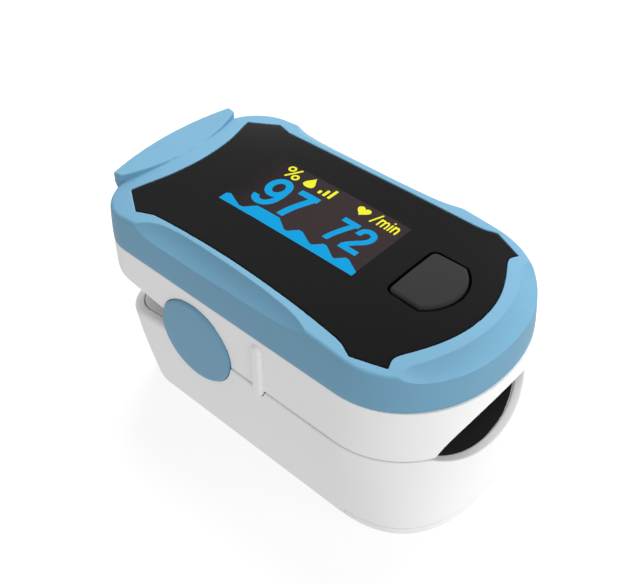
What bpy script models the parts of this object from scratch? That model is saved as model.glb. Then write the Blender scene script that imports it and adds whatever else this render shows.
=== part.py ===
# Fingertip pulse oximeter: a two-jaw finger clip with a display on top.
# It lies with +Z up. The finger goes in at the front, +X; +Y is the left side seen from behind.
# The origin is the middle of the face it rests on. All sizes below are in millimetres.
# Cutting solids run well past the faces they cut.
import math

import bpy
from mathutils import Vector

MM = 0.001               # millimetres to metres

# ------------------------------------------------------------------ driving dimensions
HALF_WIDTH = 17.0        # half width of both jaws
FRONT_X = 31.6           # finger-entry end
NOSE_LENGTH = 14.3       # length over which the front rounds in
NOSE_POWER = 2.1         # exponent of the rounded front
FOOT_NOSE_POWER = 2.6    # and at the foot of the lower jaw, which is squarer
UPPER_REAR = -28.2       # rear wall of the upper jaw
LOWER_REAR_TOP = -26.0   # rear wall of the lower jaw at its rim
LOWER_REAR_FOOT = -22.6  # and at its foot
CORNER_R = 6.4           # rear corner radius in plan
UPPER_WALL = 1.6
LOWER_WALL = 1.5
FOOT_DRAFT = 0.042       # share by which the lower sides lean in at the foot
DRAFT_Z = 9.0            # height over which they lean
STRAIGHT_Z = 14.0        # above this the lower outline no longer changes
SPLIT_Z = 15.1           # plane where the jaws meet in front of the hinge
JAW_GAP = 0.15           # each jaw stays this far off that plane
FRAME_Z = 24.65          # joint between white upper shell and blue top frame
FRAME_GAP = 0.15         # each of them stays this far off the joint
TOP_Z = 31.05            # crown of the top surface
CROWN = 0.75             # how far the top falls at CROWN_Y
CROWN_Y = 13.8
TAB_Z = 31.2             # top of the rear thumb tab
TAB_X = -30.9            # rear edge of the thumb tab

HINGE_X, HINGE_Z = -8.0, 16.0    # clamp hinge axis, along Y
DISC_R = 6.7                     # round cover over each hinge end
DISC_RECESS_R = DISC_R + 0.25
UPPER_SLOPE = 0.135              # rise per mm of the upper jaw's underside behind the hinge
LOWER_SLOPE = 0.155              # fall per mm of the lower rim behind the hinge

ARCH_Z, ARCH_R = 11.4, 10.6      # finger tunnel: circle centre height and radius at the mouth
BED_R, BED_Z = 19.8, 11.9        # finger bed: cross radius and height at the mouth

CELL_R, CELL_Y, CELL_Z = 5.25, 8.0, 6.5     # AAA cells
CELL_X0, CELL_X1 = -19.5, 24.2
NUB_R, NUB_LENGTH = 1.9, 0.9

BUTTON_X0, BUTTON_X1, BUTTON_HALF, BUTTON_Y = 14.7, 22.4, 4.8, 0.85   # D-shaped power button
SWITCH_X = 18.2                  # middle of the switch and its plunger

RIB_X, RIB_HALF = 4.2, 0.85      # side grip ribs: middle and half width
RIB_Y = (16.2, 17.35)            # inner and outer face
EMITTER_HALF_X, EMITTER_HALF_Y = 2.4, 1.9
DIODE_HALF = 1.8

SCREW_HOLE_R = 0.95
# x, y, height of the head seat
UPPER_SCREWS = [
    (18.6, 12.8, SPLIT_Z + 0.3), (18.6, -12.8, SPLIT_Z + 0.3),
    (-21.3, 11.4, 18.9), (-21.3, -11.4, 18.9),
]
LOWER_SCREWS = [(8.5, 0.0), (21.5, 0.0)]    # x, y

BAY_FRONT = 19.4         # front end of the battery opening
FAR = 45                 # reach of the solids that trim a whole jaw

# Rounded bottom edge of the lower jaw: inset, z
FOOT_EDGE = [(0.55, 0.0), (0.2, 0.2), (0.0, 0.6)]

# Left side of the display window from rear to front, with its pointed ears: x, y
WINDOW_SIDE = [
    (-25.35, 11.74), (-21.4, 14.3), (-18.5, 13.4), (-4.0, 13.45), (7.7, 13.7),
    (15.1, 14.05), (16.4, 14.55), (18.3, 15.1), (22.7, 13.35), (22.5, 11.8),
]

# Material name: base colour, roughness, metallic
FINISHES = {
    "frame_blue": ((0.23, 0.46, 0.66), 0.42, 0.0),
    "shell_white": ((0.86, 0.86, 0.87), 0.45, 0.0),
    "window_black": ((0.02, 0.02, 0.022), 0.12, 0.0),
    "button_grey": ((0.05, 0.05, 0.055), 0.4, 0.0),
    "pad_black": ((0.015, 0.015, 0.016), 0.7, 0.0),
    "board_green": ((0.02, 0.16, 0.07), 0.5, 0.0),
    "chip_black": ((0.02, 0.02, 0.02), 0.5, 0.0),
    "display_glass": ((0.03, 0.03, 0.04), 0.1, 0.0),
    "spring_steel": ((0.6, 0.6, 0.62), 0.3, 1.0),
    "nickel_contact": ((0.7, 0.68, 0.62), 0.28, 1.0),
    "screw_steel": ((0.25, 0.25, 0.27), 0.35, 1.0),
    "cell_wrap": ((0.12, 0.16, 0.2), 0.35, 0.2),
    "flex_amber": ((0.55, 0.28, 0.06), 0.4, 0.0),
    "lens_clear": ((0.35, 0.08, 0.08), 0.1, 0.0),
}

for old in list(bpy.data.objects):
    bpy.data.objects.remove(old, do_unlink=True)


def make_material(name, color, roughness, metallic):
    material = bpy.data.materials.new(name)
    material.use_nodes = True
    shader = material.node_tree.nodes["Principled BSDF"]
    shader.inputs["Base Color"].default_value = (*color, 1.0)
    shader.inputs["Roughness"].default_value = roughness
    shader.inputs["Metallic"].default_value = metallic
    material.diffuse_color = (*color, 1.0)
    return material


MATERIALS = {name: make_material(name, *finish) for name, finish in FINISHES.items()}


# ------------------------------------------------------------------ solids as (verts, faces)
def loft(rings):
    """Closed solid through equal rings, each counter-clockwise about the travel direction."""
    count = len(rings[0])
    verts = [point for ring in rings for point in ring]
    faces = []
    for start in range(0, len(verts) - count, count):
        for i in range(count):
            here, beside = start + i, start + (i + 1) % count
            faces.append((here, beside, beside + count, here + count))
    faces.append(tuple(reversed(range(count))))
    faces.append(tuple(range(len(verts) - count, len(verts))))
    return verts, faces


def prism_xy(outline, z0, z1):
    """Plan polygon, counter-clockwise from above, from z0 up to z1."""
    return loft([[(x, y, z) for x, y in outline] for z in (z0, z1)])


def prism_yz(outline, x0, x1):
    """Section polygon, counter-clockwise seen from +X, from x0 to x1."""
    return loft([[(x, y, z) for y, z in outline] for x in (x0, x1)])


def prism_xz(outline, y0, y1):
    """Side polygon, counter-clockwise seen from -Y, from y0 to y1."""
    return loft([[(x, y, z) for x, z in reversed(outline)] for y in (y0, y1)])


def box(x0, x1, y0, y1, z0, z1):
    return prism_xy([(x0, y0), (x1, y0), (x1, y1), (x0, y1)], z0, z1)


def slab(x0, x1, half_y, z0, z1):
    """Box centred on the middle plane."""
    return box(x0, x1, -half_y, half_y, z0, z1)


def circle(across, up, radius, count, start=0.0):
    angles = [start + 2 * math.pi * i / count for i in range(count)]
    return [(across + radius * math.cos(a), up + radius * math.sin(a)) for a in angles]


def turned_x(y, z, profile, count):
    """Solid of revolution about an X-parallel axis; profile is (radius, x) with x rising."""
    return loft([[(x, *point) for point in circle(y, z, r, count)] for r, x in profile])


def turned_z(x, y, profile, count):
    """Solid of revolution about a Z-parallel axis; profile is (radius, z) with z rising."""
    return loft([[(*point, z) for point in circle(x, y, r, count)] for r, z in profile])


def turned_hinge(profile, count):
    """Solid of revolution about the hinge axis; profile is (radius, y) with y rising."""
    return loft([
        [(x, y, z) for x, z in reversed(circle(HINGE_X, HINGE_Z, radius, count))]
        for radius, y in profile
    ])


def cyl_z(x, y, radius, z0, z1, count):
    return turned_z(x, y, [(radius, z0), (radius, z1)], count)


def cyl_x(z, radius, x0, x1, count=48):
    """Cylinder along X on the middle plane."""
    return turned_x(0, z, [(radius, x0), (radius, x1)], count)


def flip_y(solid):
    verts, faces = solid
    return [(x, -y, z) for x, y, z in verts], [tuple(reversed(face)) for face in faces]


def group(solids):
    """Several separate solids in one mesh."""
    all_verts, all_faces = [], []
    for verts, faces in solids:
        first = len(all_verts)
        all_verts += verts
        all_faces += [tuple(i + first for i in face) for face in faces]
    return all_verts, all_faces


def both(solid):
    """The solid and its mirror image on the other side."""
    return group([solid, flip_y(solid)])


def hinge_cylinders(radius, y0, y1, count=40):
    return both(prism_xz(circle(HINGE_X, HINGE_Z, radius, count, 0.05), y0, y1))


def tube(path, radius):
    """Round wire of six sides along a polyline."""
    points = [Vector(point) for point in path]
    last = len(points) - 1
    rings, side = [], None
    for i, point in enumerate(points):
        along = (points[min(i + 1, last)] - points[max(i - 1, 0)]).normalized()
        if side is None:
            side = along.orthogonal().normalized()
        side = (side - along * side.dot(along)).normalized()
        up = along.cross(side)
        rings.append([tuple(point + side * u + up * v) for u, v in circle(0, 0, radius, 6)])
    return loft(rings)


# ------------------------------------------------------------------ objects
ORIGINS = {}             # world position of each empty


def link(name, data):
    thing = bpy.data.objects.new(name, data)
    bpy.context.scene.collection.objects.link(thing)
    return thing


def mesh_object(name, solid, origin=(0, 0, 0)):
    verts, faces = solid
    mesh = bpy.data.meshes.new(name)
    mesh.from_pydata([[(a - b) * MM for a, b in zip(v, origin)] for v in verts], [], faces)
    mesh.validate()
    return link(name, mesh)


def empty(name, place, parent=None):
    holder = link(name, None)
    holder.empty_display_size = 0.01
    base = ORIGINS[parent.name] if parent else (0, 0, 0)
    holder.location = [(a - b) * MM for a, b in zip(place, base)]
    holder.parent = parent
    ORIGINS[name] = place
    return holder


LOWER = empty("lower_jaw", (0, 0, 0))
UPPER = empty("upper_jaw_on_hinge_axis", (HINGE_X, 0, HINGE_Z))
BUTTON = empty("button_slide", ((BUTTON_X0 + BUTTON_X1) / 2, BUTTON_Y, 29.0), UPPER)
COVER = empty("battery_cover_slide", (0, 0, 0.5), LOWER)


def part(name, solid, material, parent):
    piece = mesh_object(name, solid, ORIGINS[parent.name])
    piece.parent = parent
    piece.data.materials.append(MATERIALS[material])
    piece.data.shade_smooth()
    piece.data.set_sharp_from_angle(angle=math.radians(35))
    return piece


def helper(name, solid):
    """Hidden solid that a boolean works with."""
    hidden = mesh_object(name, solid)
    hidden.hide_render = True
    hidden.display_type = "WIRE"
    return hidden


def boolean(piece, label, operation, other):
    modifier = piece.modifiers.new(label, "BOOLEAN")
    modifier.operation = operation
    modifier.object = other


def cut(piece, label, solid):
    boolean(piece, label, "DIFFERENCE", helper(f"tool_{piece.name}_{label}", solid))


def add(piece, label, solid):
    boolean(piece, label, "UNION", helper(f"tool_{piece.name}_{label}", solid))


def keep(piece, label, solid):
    boolean(piece, label, "INTERSECT", helper(f"tool_{piece.name}_{label}", solid))


# ------------------------------------------------------------------ outlines
def quarter(x, y, radius, start, count):
    """Quarter circle, counter-clockwise from the start angle."""
    angles = [start + (math.pi / 2) * i / count for i in range(count + 1)]
    return [(x + radius * math.cos(a), y + radius * math.sin(a)) for a in angles]


def plan(inset=0.0, rear=UPPER_REAR, power=NOSE_POWER):
    """Plan outline of a jaw: straight sides, rounded rear corners, superelliptic nose."""
    corner_x, corner_y, radius = rear + CORNER_R, HALF_WIDTH - CORNER_R, CORNER_R - inset
    points = quarter(corner_x, -corner_y, radius, math.pi, 6)
    steps = 24
    for i in range(steps + 1):
        angle = -math.pi / 2 + math.pi * i / steps
        cos, sin = abs(math.cos(angle)), math.sin(angle)
        x = FRONT_X - NOSE_LENGTH + NOSE_LENGTH * cos ** (2 / power)
        y = HALF_WIDTH * math.copysign(abs(sin) ** (2 / power), sin)
        normal_x = cos ** (2 - 2 / power) / NOSE_LENGTH
        normal_y = math.copysign(abs(sin) ** (2 - 2 / power), sin) / HALF_WIDTH
        length = math.hypot(normal_x, normal_y)
        points.append((x - inset * normal_x / length, y - inset * normal_y / length))
    return points + quarter(corner_x, corner_y, radius, math.pi / 2, 6)


def upper_ring(inset, z):
    return [(x, y, z) for x, y in plan(inset)]


def lower_ring(inset, z):
    """Like the plan, but towards the foot the rear and sides lean in and the nose is squarer."""
    rear = LOWER_REAR_FOOT + (LOWER_REAR_TOP - LOWER_REAR_FOOT) * min(z, STRAIGHT_Z) / 13.0
    lean = 1 - FOOT_DRAFT * max(0.0, (DRAFT_Z - z) / DRAFT_Z) ** 1.4
    square = (FOOT_NOSE_POWER - NOSE_POWER) * max(0.0, 1 - z / STRAIGHT_Z)
    return [(x, y * lean, z) for x, y in plan(inset, rear, NOSE_POWER + square)]


def lower_half_width(x, inset):
    """Half width of the lower jaw's inset rim outline at x."""
    points = sorted(point for point in plan(inset, LOWER_REAR_TOP) if point[1] >= 0)
    for (x0, y0), (x1, y1) in zip(points, points[1:]):
        if x0 <= x <= x1 and x1 > x0:
            return y0 + (y1 - y0) * (x - x0) / (x1 - x0)
    return 0.0


def arc_between(start, end, bulge, count):
    """Circular arc from start to end whose middle stands bulge to the left of the chord."""
    (x0, y0), (x1, y1) = start, end
    half = math.hypot(x1 - x0, y1 - y0) / 2
    along_x, along_y = (x1 - x0) / (2 * half), (y1 - y0) / (2 * half)
    radius = (half**2 + bulge**2) / (2 * bulge)    # takes the sign of bulge
    spread = math.asin(half / radius)
    points = []
    for i in range(count + 1):
        turn = -spread + 2 * spread * i / count
        ahead = radius * math.sin(turn)
        left = bulge - radius + radius * math.cos(turn)
        points.append(((x0 + x1) / 2 + ahead * along_x - left * along_y,
                       (y0 + y1) / 2 + ahead * along_y + left * along_x))
    return points


def inset_polygon(points, distance):
    """Move each edge of a counter-clockwise polygon inward (outward if negative)."""
    moved = []
    for i, (x, y) in enumerate(points):
        before, after = points[i - 1], points[(i + 1) % len(points)]
        length_in = math.hypot(x - before[0], y - before[1])
        length_out = math.hypot(after[0] - x, after[1] - y)
        in_x, in_y = -(y - before[1]) / length_in, (x - before[0]) / length_in
        out_x, out_y = -(after[1] - y) / length_out, (after[0] - x) / length_out
        scale = 1 + in_x * out_x + in_y * out_y
        moved.append((x + distance * (in_x + out_x) / scale,
                      y + distance * (in_y + out_y) / scale))
    return moved


def window_outline(inset):
    """Display window: waisted sides, hollow rear edge and bulging front edge."""
    left = WINDOW_SIDE
    right = [(x, -y) for x, y in left]
    front = arc_between(right[-1], left[-1], -2.95, 12)
    rear = arc_between(left[0], right[0], 1.5, 10)
    return inset_polygon(right[:-1] + front + left[-2:0:-1] + rear[:-1], inset)


def button_outline(grow):
    """Straight edge to the rear with small corner arcs, large arc to the front."""
    radius, arc_x, arc_half = 0.9, 19.8, BUTTON_HALF + 0.1
    corner_x, corner_y = BUTTON_X0 + radius, BUTTON_HALF - radius
    points = quarter(corner_x, -corner_y, radius, math.pi, 3)
    points += arc_between((arc_x, -arc_half), (arc_x, arc_half), -(BUTTON_X1 - arc_x), 10)
    points += quarter(corner_x, corner_y, radius, math.pi / 2, 3)
    return inset_polygon([(x, y + BUTTON_Y) for x, y in points], -grow)


def bay_outline(inset, front):
    """Battery opening in the floor, its rear corners cut off to clear the shell's corners."""
    rear, half, corner = -20.9 + inset, 14.3 - inset, 3.6
    return [
        (rear, -half + corner), (rear + corner, -half), (front, -half),
        (front, half), (rear + corner, half), (rear, half - corner),
    ]


# ------------------------------------------------------------------ shared trimming solids
def crown_block(drop=0.0):
    """Everything below the crowned top surface, as a bar along X."""
    stations = [20, 17, 14.4, 11.6, 8.6, 5, 1.6, -1.6, -5, -8.6, -11.6, -14.4, -17, -20]
    top = [(y, TOP_Z - CROWN * (y / CROWN_Y) ** 2 - drop) for y in stations]
    return prism_yz([(-20, 5.0), (20, 5.0)] + top, -FAR, FAR)


def under_upper(lift=0.0):
    """Space below the upper jaw's underside: flat before the hinge, rising behind it."""
    front_z = SPLIT_Z + JAW_GAP + lift
    hinge_z = HINGE_Z + 0.65 + lift
    return prism_xz([
        (-FAR, -5), (FAR, -5), (FAR, front_z), (HINGE_X, front_z),
        (HINGE_X - 0.2, hinge_z), (-FAR, hinge_z + UPPER_SLOPE * (FAR + HINGE_X)),
    ], -25, 25)


def over_lower():
    """Space above the lower jaw's rim: flat in front of the hinge, falling behind it."""
    rim = SPLIT_Z - JAW_GAP
    return prism_xz([
        (-FAR, rim - LOWER_SLOPE * (FAR + HINGE_X)), (HINGE_X, rim), (FAR, rim),
        (FAR, FAR), (-FAR, FAR),
    ], -25, 25)


def cable_slot(z0, z1):
    return slab(-17.6, -16.6, 3.6, z0, z1)


def hinge_room(inner_y, z0, z1):
    """Space for the hinge at both sides."""
    return both(box(-15.4, -0.7, inner_y, 20, z0, z1))


UPPER_INSIDE = prism_xy(plan(UPPER_WALL + 0.3), 5, 40)
EMITTER_HOLE = slab(-EMITTER_HALF_X - 0.4, EMITTER_HALF_X + 0.4, EMITTER_HALF_Y + 0.4, 18, 26)
SENSOR_HOLE = slab(-DIODE_HALF - 0.3, DIODE_HALF + 0.3, DIODE_HALF + 0.3, 8, 16)


# ------------------------------------------------------------------ upper jaw: shells and pad
def tab_ring(forward, z):
    """Crescent of the thumb tab: bowed rear edge, hollow front edge."""
    rear, front = -29.5, -28.2
    outer = arc_between((rear + forward, 11.4), (rear + forward, -11.4), TAB_X - rear, 10)
    inner = arc_between((front + forward, -11.2), (front + forward, 11.2), -2.6, 10)
    return [(x, y, z) for x, y in outer + inner]


def top_frame():
    # inset, z
    edge = [
        (0.0, FRAME_Z + FRAME_GAP), (0.0, 27.6), (0.3, 28.8), (0.85, 29.6),
        (1.7, 30.3), (2.9, 31.0), (4.4, 31.6),
    ]
    tab = [(2.3, 25.6), (0.4, 28.8), (0.0, 29.6), (0.0, TAB_Z)]    # forward shift, z
    frame = part("top_frame", loft([upper_ring(*row) for row in edge]), "frame_blue", UPPER)
    keep(frame, "crown", crown_block())
    add(frame, "tab", loft([tab_ring(*row) for row in tab]))
    cut(frame, "cavity", prism_xy(plan(1.8), 20, 27.8))
    add(frame, "bosses", group(cyl_z(x, y, 2.0, z + 3.1, 28.2, 16) for x, y, z in UPPER_SCREWS))
    cut(frame, "pilot_holes",
        group(cyl_z(x, y, SCREW_HOLE_R, z + 2, 26.5, 12) for x, y, z in UPPER_SCREWS))
    cut(frame, "window_seat", prism_xy(window_outline(-0.15), 28.9, 34))
    cut(frame, "window_opening", prism_xy(window_outline(1.3), 28.35, 34))
    opening = [(-18.5, -11.0), (23.5, -9.5), (23.5, 9.5), (-18.5, 11.0)]
    cut(frame, "display_opening", prism_xy(opening, 26, 34))


def rib(z0, z1):
    """Side grip rib with a rounded head."""
    # distance from the rib's middle, z
    section = [
        (-RIB_HALF, z0), (RIB_HALF, z0), (RIB_HALF, z1 - RIB_HALF), (0.6, z1 - 0.25),
        (0, z1), (-0.6, z1 - 0.25), (-RIB_HALF, z1 - RIB_HALF),
    ]
    return both(prism_xz([(RIB_X + offset, z) for offset, z in section], *RIB_Y))


def upper_shell():
    # inset, z
    wall = [(0.15, 12.0), (0.15, 16.0), (0.0, 20.0), (0.0, FRAME_Z - FRAME_GAP)]
    shell = part("upper_shell", loft([upper_ring(*row) for row in wall]), "shell_white", UPPER)
    cut(shell, "cavity", prism_xy(plan(UPPER_WALL), 5, 40))
    cut(shell, "mouth", cyl_x(ARCH_Z, ARCH_R, 20, 40))
    cut(shell, "underside", under_upper())
    add(shell, "hinge_ears", hinge_cylinders(6.4, 14.9, 16.1))
    cut(shell, "disc_recess", hinge_cylinders(DISC_RECESS_R, 16.15, 19))
    cut(shell, "pin_holes", hinge_cylinders(1.2, 14, 19))
    add(shell, "ribs", rib(15.6, 23.6))
    add(shell, "rib_feet", both(box(RIB_X - RIB_HALF, RIB_X + RIB_HALF, *RIB_Y, 14.1, 15.9)))


def upper_inner_cover():
    # x, z
    side = [(-30, 12), (31, 12), (31, 16.35), (-7.0, 16.35), (-7.3, 17.95), (-30, 20.95)]
    cover = part("upper_inner_cover", prism_xz(side, -16, 16), "shell_white", UPPER)
    add(cover, "tunnel", cyl_x(ARCH_Z, ARCH_R + 1.0, -15.3, 30.5))
    add(cover, "screw_posts",
        group(cyl_z(x, y, 2.3, z - 2.0, z + 2.8, 16) for x, y, z in UPPER_SCREWS))
    keep(cover, "inside_walls", UPPER_INSIDE)
    cut(cover, "underside", under_upper(0.2))
    cut(cover, "channel", cyl_x(ARCH_Z, ARCH_R + 0.2, -14.5, 40))
    cut(cover, "hinge_room", hinge_room(11.1, 10, 21.5))
    cut(cover, "head_recess",
        group(cyl_z(x, y, 1.85, z - 4, z + 1.4, 16) for x, y, z in UPPER_SCREWS))
    cut(cover, "screw_holes",
        group(cyl_z(x, y, SCREW_HOLE_R, z - 4, z + 5, 12) for x, y, z in UPPER_SCREWS))
    cut(cover, "emitter_hole", EMITTER_HOLE)
    cut(cover, "cable_slot", cable_slot(15, 24))


def upper_finger_pad():
    # radius, x: the channel widens towards the mouth
    channel = [(8.2, -13.0), (9.2, -9.0), (9.4, 0.0), (9.5, 20.0), (10.1, 30.0), (10.2, 36.0)]
    pad = part("upper_finger_pad", cyl_x(ARCH_Z, ARCH_R, -14.2, 31), "pad_black", UPPER)
    keep(pad, "inside_walls", UPPER_INSIDE)
    cut(pad, "channel", turned_x(0, ARCH_Z, channel, 48))
    cut(pad, "underside", under_upper(0.25))
    cut(pad, "emitter_hole", EMITTER_HOLE)


# ------------------------------------------------------------------ upper jaw: inside and button
def display_window():
    window = part("display_window", prism_xy(window_outline(0.15), 29.0, 34),
                  "window_black", UPPER)
    keep(window, "crown", crown_block(0.02))
    cut(window, "button_hole", prism_xy(button_outline(0.3), 28, 36))


def main_board():
    rear, front = [(-23.6, -10.0), (-21.0, -12.6)], [(21.5, -12.6), (24.0, -9.0)]
    right = rear + front
    outline = right + [(x, -y) for x, y in reversed(right)]
    board = part("main_board", prism_xy(outline, 24.9, 25.7), "board_green", UPPER)
    cut(board, "boss_holes", group(cyl_z(x, y, 2.4, 20, 30, 16) for x, y, z in UPPER_SCREWS))


def upper_components():
    part("display_module", box(-17.2, 12.0, -8.0, 9.6, 26.1, 28.2), "display_glass", UPPER)
    part("controller_chip", slab(-12.0, -5.0, 3.5, 23.7, 24.8), "chip_black", UPPER)
    emitter = slab(-EMITTER_HALF_X, EMITTER_HALF_X, EMITTER_HALF_Y, 21.0, 24.6)
    part("light_emitter", emitter, "lens_clear", UPPER)


def button_switch():
    half = 3.0
    body = box(SWITCH_X - half, SWITCH_X + half, BUTTON_Y - half, BUTTON_Y + half, 25.9, 27.2)
    switch = part("button_switch", body, "chip_black", UPPER)
    cut(switch, "plunger_bore", cyl_z(SWITCH_X, BUTTON_Y, 1.55, 26.25, 29, 20))
    plunger = cyl_z(SWITCH_X, BUTTON_Y, 1.3, 26.85, 27.8, 20)
    part("switch_plunger", plunger, "chip_black", BUTTON)


def power_button():
    # growth of the outline, z: a stem, a foot flange and a rounded top
    rows = [
        (0.75, 28.0), (0.75, 28.6), (-0.02, 28.65), (0.0, 30.6), (-0.25, 31.05), (-0.8, 31.25),
    ]
    rings = [[(x, y, z) for x, y in button_outline(grow)] for grow, z in rows]
    part("power_button", loft(rings), "button_grey", BUTTON)


def screws():
    for i, (x, y, z) in enumerate(UPPER_SCREWS, 1):
        # radius, z
        profile = [
            (1.5, z + 0.35), (1.6, z + 0.6), (1.6, z + 1.2),
            (0.7, z + 1.25), (0.7, z + 6.6), (0.25, z + 7.2),
        ]
        part(f"upper_screw_{i}", turned_z(x, y, profile, 14), "screw_steel", UPPER)
    profile = [(1.4, 3.35), (1.5, 3.6), (1.5, 4.3), (0.7, 4.35), (0.7, 10.2), (0.25, 10.7)]
    for i, (x, y) in enumerate(LOWER_SCREWS, 1):
        part(f"lower_screw_{i}", turned_z(x, y, profile, 14), "screw_steel", LOWER)


# ------------------------------------------------------------------ lower jaw: shell
def add_hinge_lugs(shell):
    """Round-headed lugs that hold the pins, with feet reaching out to the side walls."""
    radius, foot_z = 3.2, 5.0
    rear, front = HINGE_X - radius, HINGE_X + radius
    angles = [math.radians(degrees) for degrees in range(0, 181, 15)]
    head = [(HINGE_X + radius * math.cos(a), HINGE_Z + radius * math.sin(a)) for a in angles]
    lug = prism_xz([(rear, foot_z), (front, foot_z)] + head, 13.45, 14.6)
    add(shell, "hinge_lugs", both(lug))
    add(shell, "lug_feet", both(box(rear, front, 14.0, 16.2, foot_z, 8.8)))
    cut(shell, "pin_holes", hinge_cylinders(1.08, 13, 15, 24))


def lower_shell():
    # inset, z
    wall = FOOT_EDGE + [(0.0, z) for z in (1.6, 3.0, 6.0, 9.0, 14.0, 18.0)]
    cavity = [(LOWER_WALL + 0.2, 1.7)] + [(LOWER_WALL, z) for z in (5.0, 14.0, 20.0)]
    shell = part("lower_shell", loft([lower_ring(*row) for row in wall]), "shell_white", LOWER)
    cut(shell, "cavity", loft([lower_ring(*row) for row in cavity]))
    cut(shell, "rim", over_lower())
    cut(shell, "mouth", cyl_x(BED_Z + BED_R, BED_R, 20, 40, 96))
    cut(shell, "ear_room", hinge_cylinders(6.75, 14.6, 16.3))
    cut(shell, "disc_recess", hinge_cylinders(DISC_RECESS_R, 16.15, 19))
    cut(shell, "rib_notches", both(box(2.95, 5.5, 15.9, 20, 13.8, 18)))
    cut(shell, "battery_opening", prism_xy(bay_outline(0.0, BAY_FRONT), -2, 2.1))
    cut(shell, "cover_grooves", slab(-16.6, 19.5, 15.0, 0.25, 1.35))
    cut(shell, "front_foot", slab(BAY_FRONT, 40, 20, -2, 1.7))
    add_hinge_lugs(shell)
    add(shell, "front_bulkhead", slab(26.4, 27.3, 12.2, 1.75, 10.0))
    add(shell, "centre_rib", slab(-20.3, 27.0, 0.8, 3.4, 8.0))
    add(shell, "screw_bosses", group(cyl_z(x, y, 2.3, 3.0, 8.2, 16) for x, y in LOWER_SCREWS))
    cut(shell, "head_recess", group(cyl_z(x, y, 1.8, 1, 4.6, 16) for x, y in LOWER_SCREWS))
    cut(shell, "screw_holes",
        group(cyl_z(x, y, SCREW_HOLE_R, 1, 12, 12) for x, y in LOWER_SCREWS))


# ------------------------------------------------------------------ lower jaw: finger bed
PAD_REAR = -14.0
PAD_THICKNESS = 0.8
COVER_THICKNESS = 0.72
SEAT_EDGE = 10.15        # half width of the sunken seat for the pad


def rim_limit(x, drop):
    return SPLIT_Z - JAW_GAP - drop - LOWER_SLOPE * max(0.0, HINGE_X - x)


def pad_top(x, y):
    """Cross arc on a middle line that is level under the finger and dips to the mouth."""
    middle = 13.0 - 1.45 * (max(0.0, x - 12) / 18.0) ** 2
    return min(middle + y * y / (2 * BED_R), rim_limit(x, 0.25))


def pad_bottom(x, y):
    return pad_top(x, y) - PAD_THICKNESS


def cover_top(x, y):
    """Sunken seat under the pad, level lips at the sides."""
    seat = 1.0 if x > PAD_REAR - 0.4 else 0.35
    z = pad_top(x, y) - seat if abs(y) < SEAT_EDGE else 14.7
    return min(z, rim_limit(x, 0.5))


def cover_bottom(x, y):
    z = cover_top(x, y) - COVER_THICKNESS
    return z if abs(y) < SEAT_EDGE else min(13.85, z)


def cover_row(x):
    half = lower_half_width(x, LOWER_WALL + 0.3)
    seat = min(10.0, 0.93 * half)
    lip = min(10.3, 0.96 * half)
    outer = (half + lip) / 2
    return [-half, -outer, -lip] + [seat * k / 5 for k in range(-5, 6)] + [lip, outer, half]


def pad_row(x):
    half = min(9.85, lower_half_width(x, LOWER_WALL + 0.4) - 0.8)
    return [half * k / 5 for k in range(-5, 6)]


def sheet(stations, row_at, top, bottom):
    """Sheet lofted along X between two height functions of (x, y)."""
    rings = []
    for x in stations:
        row = row_at(x)
        rings.append([(x, y, bottom(x, y)) for y in row]
                     + [(x, y, top(x, y)) for y in reversed(row)])
    return loft(rings)


def lower_inner_cover():
    # x
    stations = [
        -23.2, -20.0, -16.0, -14.7, -14.3, -11.0, -8.0, 0.0,
        12.0, 17.0, 20.0, 22.5, 25.0, 27.0, 28.4,
    ]
    cover = part("lower_inner_cover", sheet(stations, cover_row, cover_top, cover_bottom),
                 "shell_white", LOWER)
    add(cover, "screw_posts", group(cyl_z(x, y, 2.1, 8.5, 11.35, 16) for x, y in LOWER_SCREWS))
    cut(cover, "pilot_holes",
        group(cyl_z(x, y, SCREW_HOLE_R, 7, 11.0, 12) for x, y in LOWER_SCREWS))
    cut(cover, "hinge_room", hinge_room(10.6, 8, 18))
    cut(cover, "sensor_hole", SENSOR_HOLE)
    cut(cover, "cable_slot", cable_slot(8, 16))


def lower_finger_pad():
    # x
    stations = [
        PAD_REAR, -11.0, -8.0, 0.0, 12.0, 17.0, 20.0, 22.5, 25.0, 27.0, 28.6, 29.5,
    ]
    pad = part("lower_finger_pad", sheet(stations, pad_row, pad_top, pad_bottom),
               "pad_black", LOWER)
    cut(pad, "sensor_hole", SENSOR_HOLE)


def sensor_and_cable():
    part("sensor_board", slab(-4.5, 4.5, 3.3, 9.9, 10.5), "board_green", LOWER)
    part("photodiode", slab(-DIODE_HALF, DIODE_HALF, DIODE_HALF, 10.65, 12.8),
         "chip_black", LOWER)
    # Cable from the upper board down and forward to the sensor board: x, z
    cable = [
        (-16.95, 24.6), (-17.25, 24.6), (-17.25, 10.75), (-4.7, 10.75),
        (-4.7, 11.1), (-4.9, 11.1), (-4.9, 10.9), (-16.95, 10.9),
    ]
    part("flex_cable", prism_xz(cable, -2.6, 2.6), "flex_amber", LOWER)


# ------------------------------------------------------------------ hinge
def torsion_spring():
    """Left spring: a coil about the hinge axis with both legs pointing to the rear."""
    coil_r, wire_r, leg_x = 2.3, 0.3, -14.9
    inner_y, coil_length = 11.6, 1.45
    start, sweep, steps = math.radians(262), math.radians(-3 * 360 + 196), 36
    path = [(leg_x, inner_y, 13.6), (-10.4, inner_y, 13.7)]
    for i in range(steps + 1):
        angle = start + sweep * i / steps
        path.append((HINGE_X + coil_r * math.cos(angle), inner_y + coil_length * i / steps,
                     HINGE_Z + coil_r * math.sin(angle)))
    path.append((leg_x, inner_y + coil_length, 17.2))
    return tube(path, wire_r)


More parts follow.
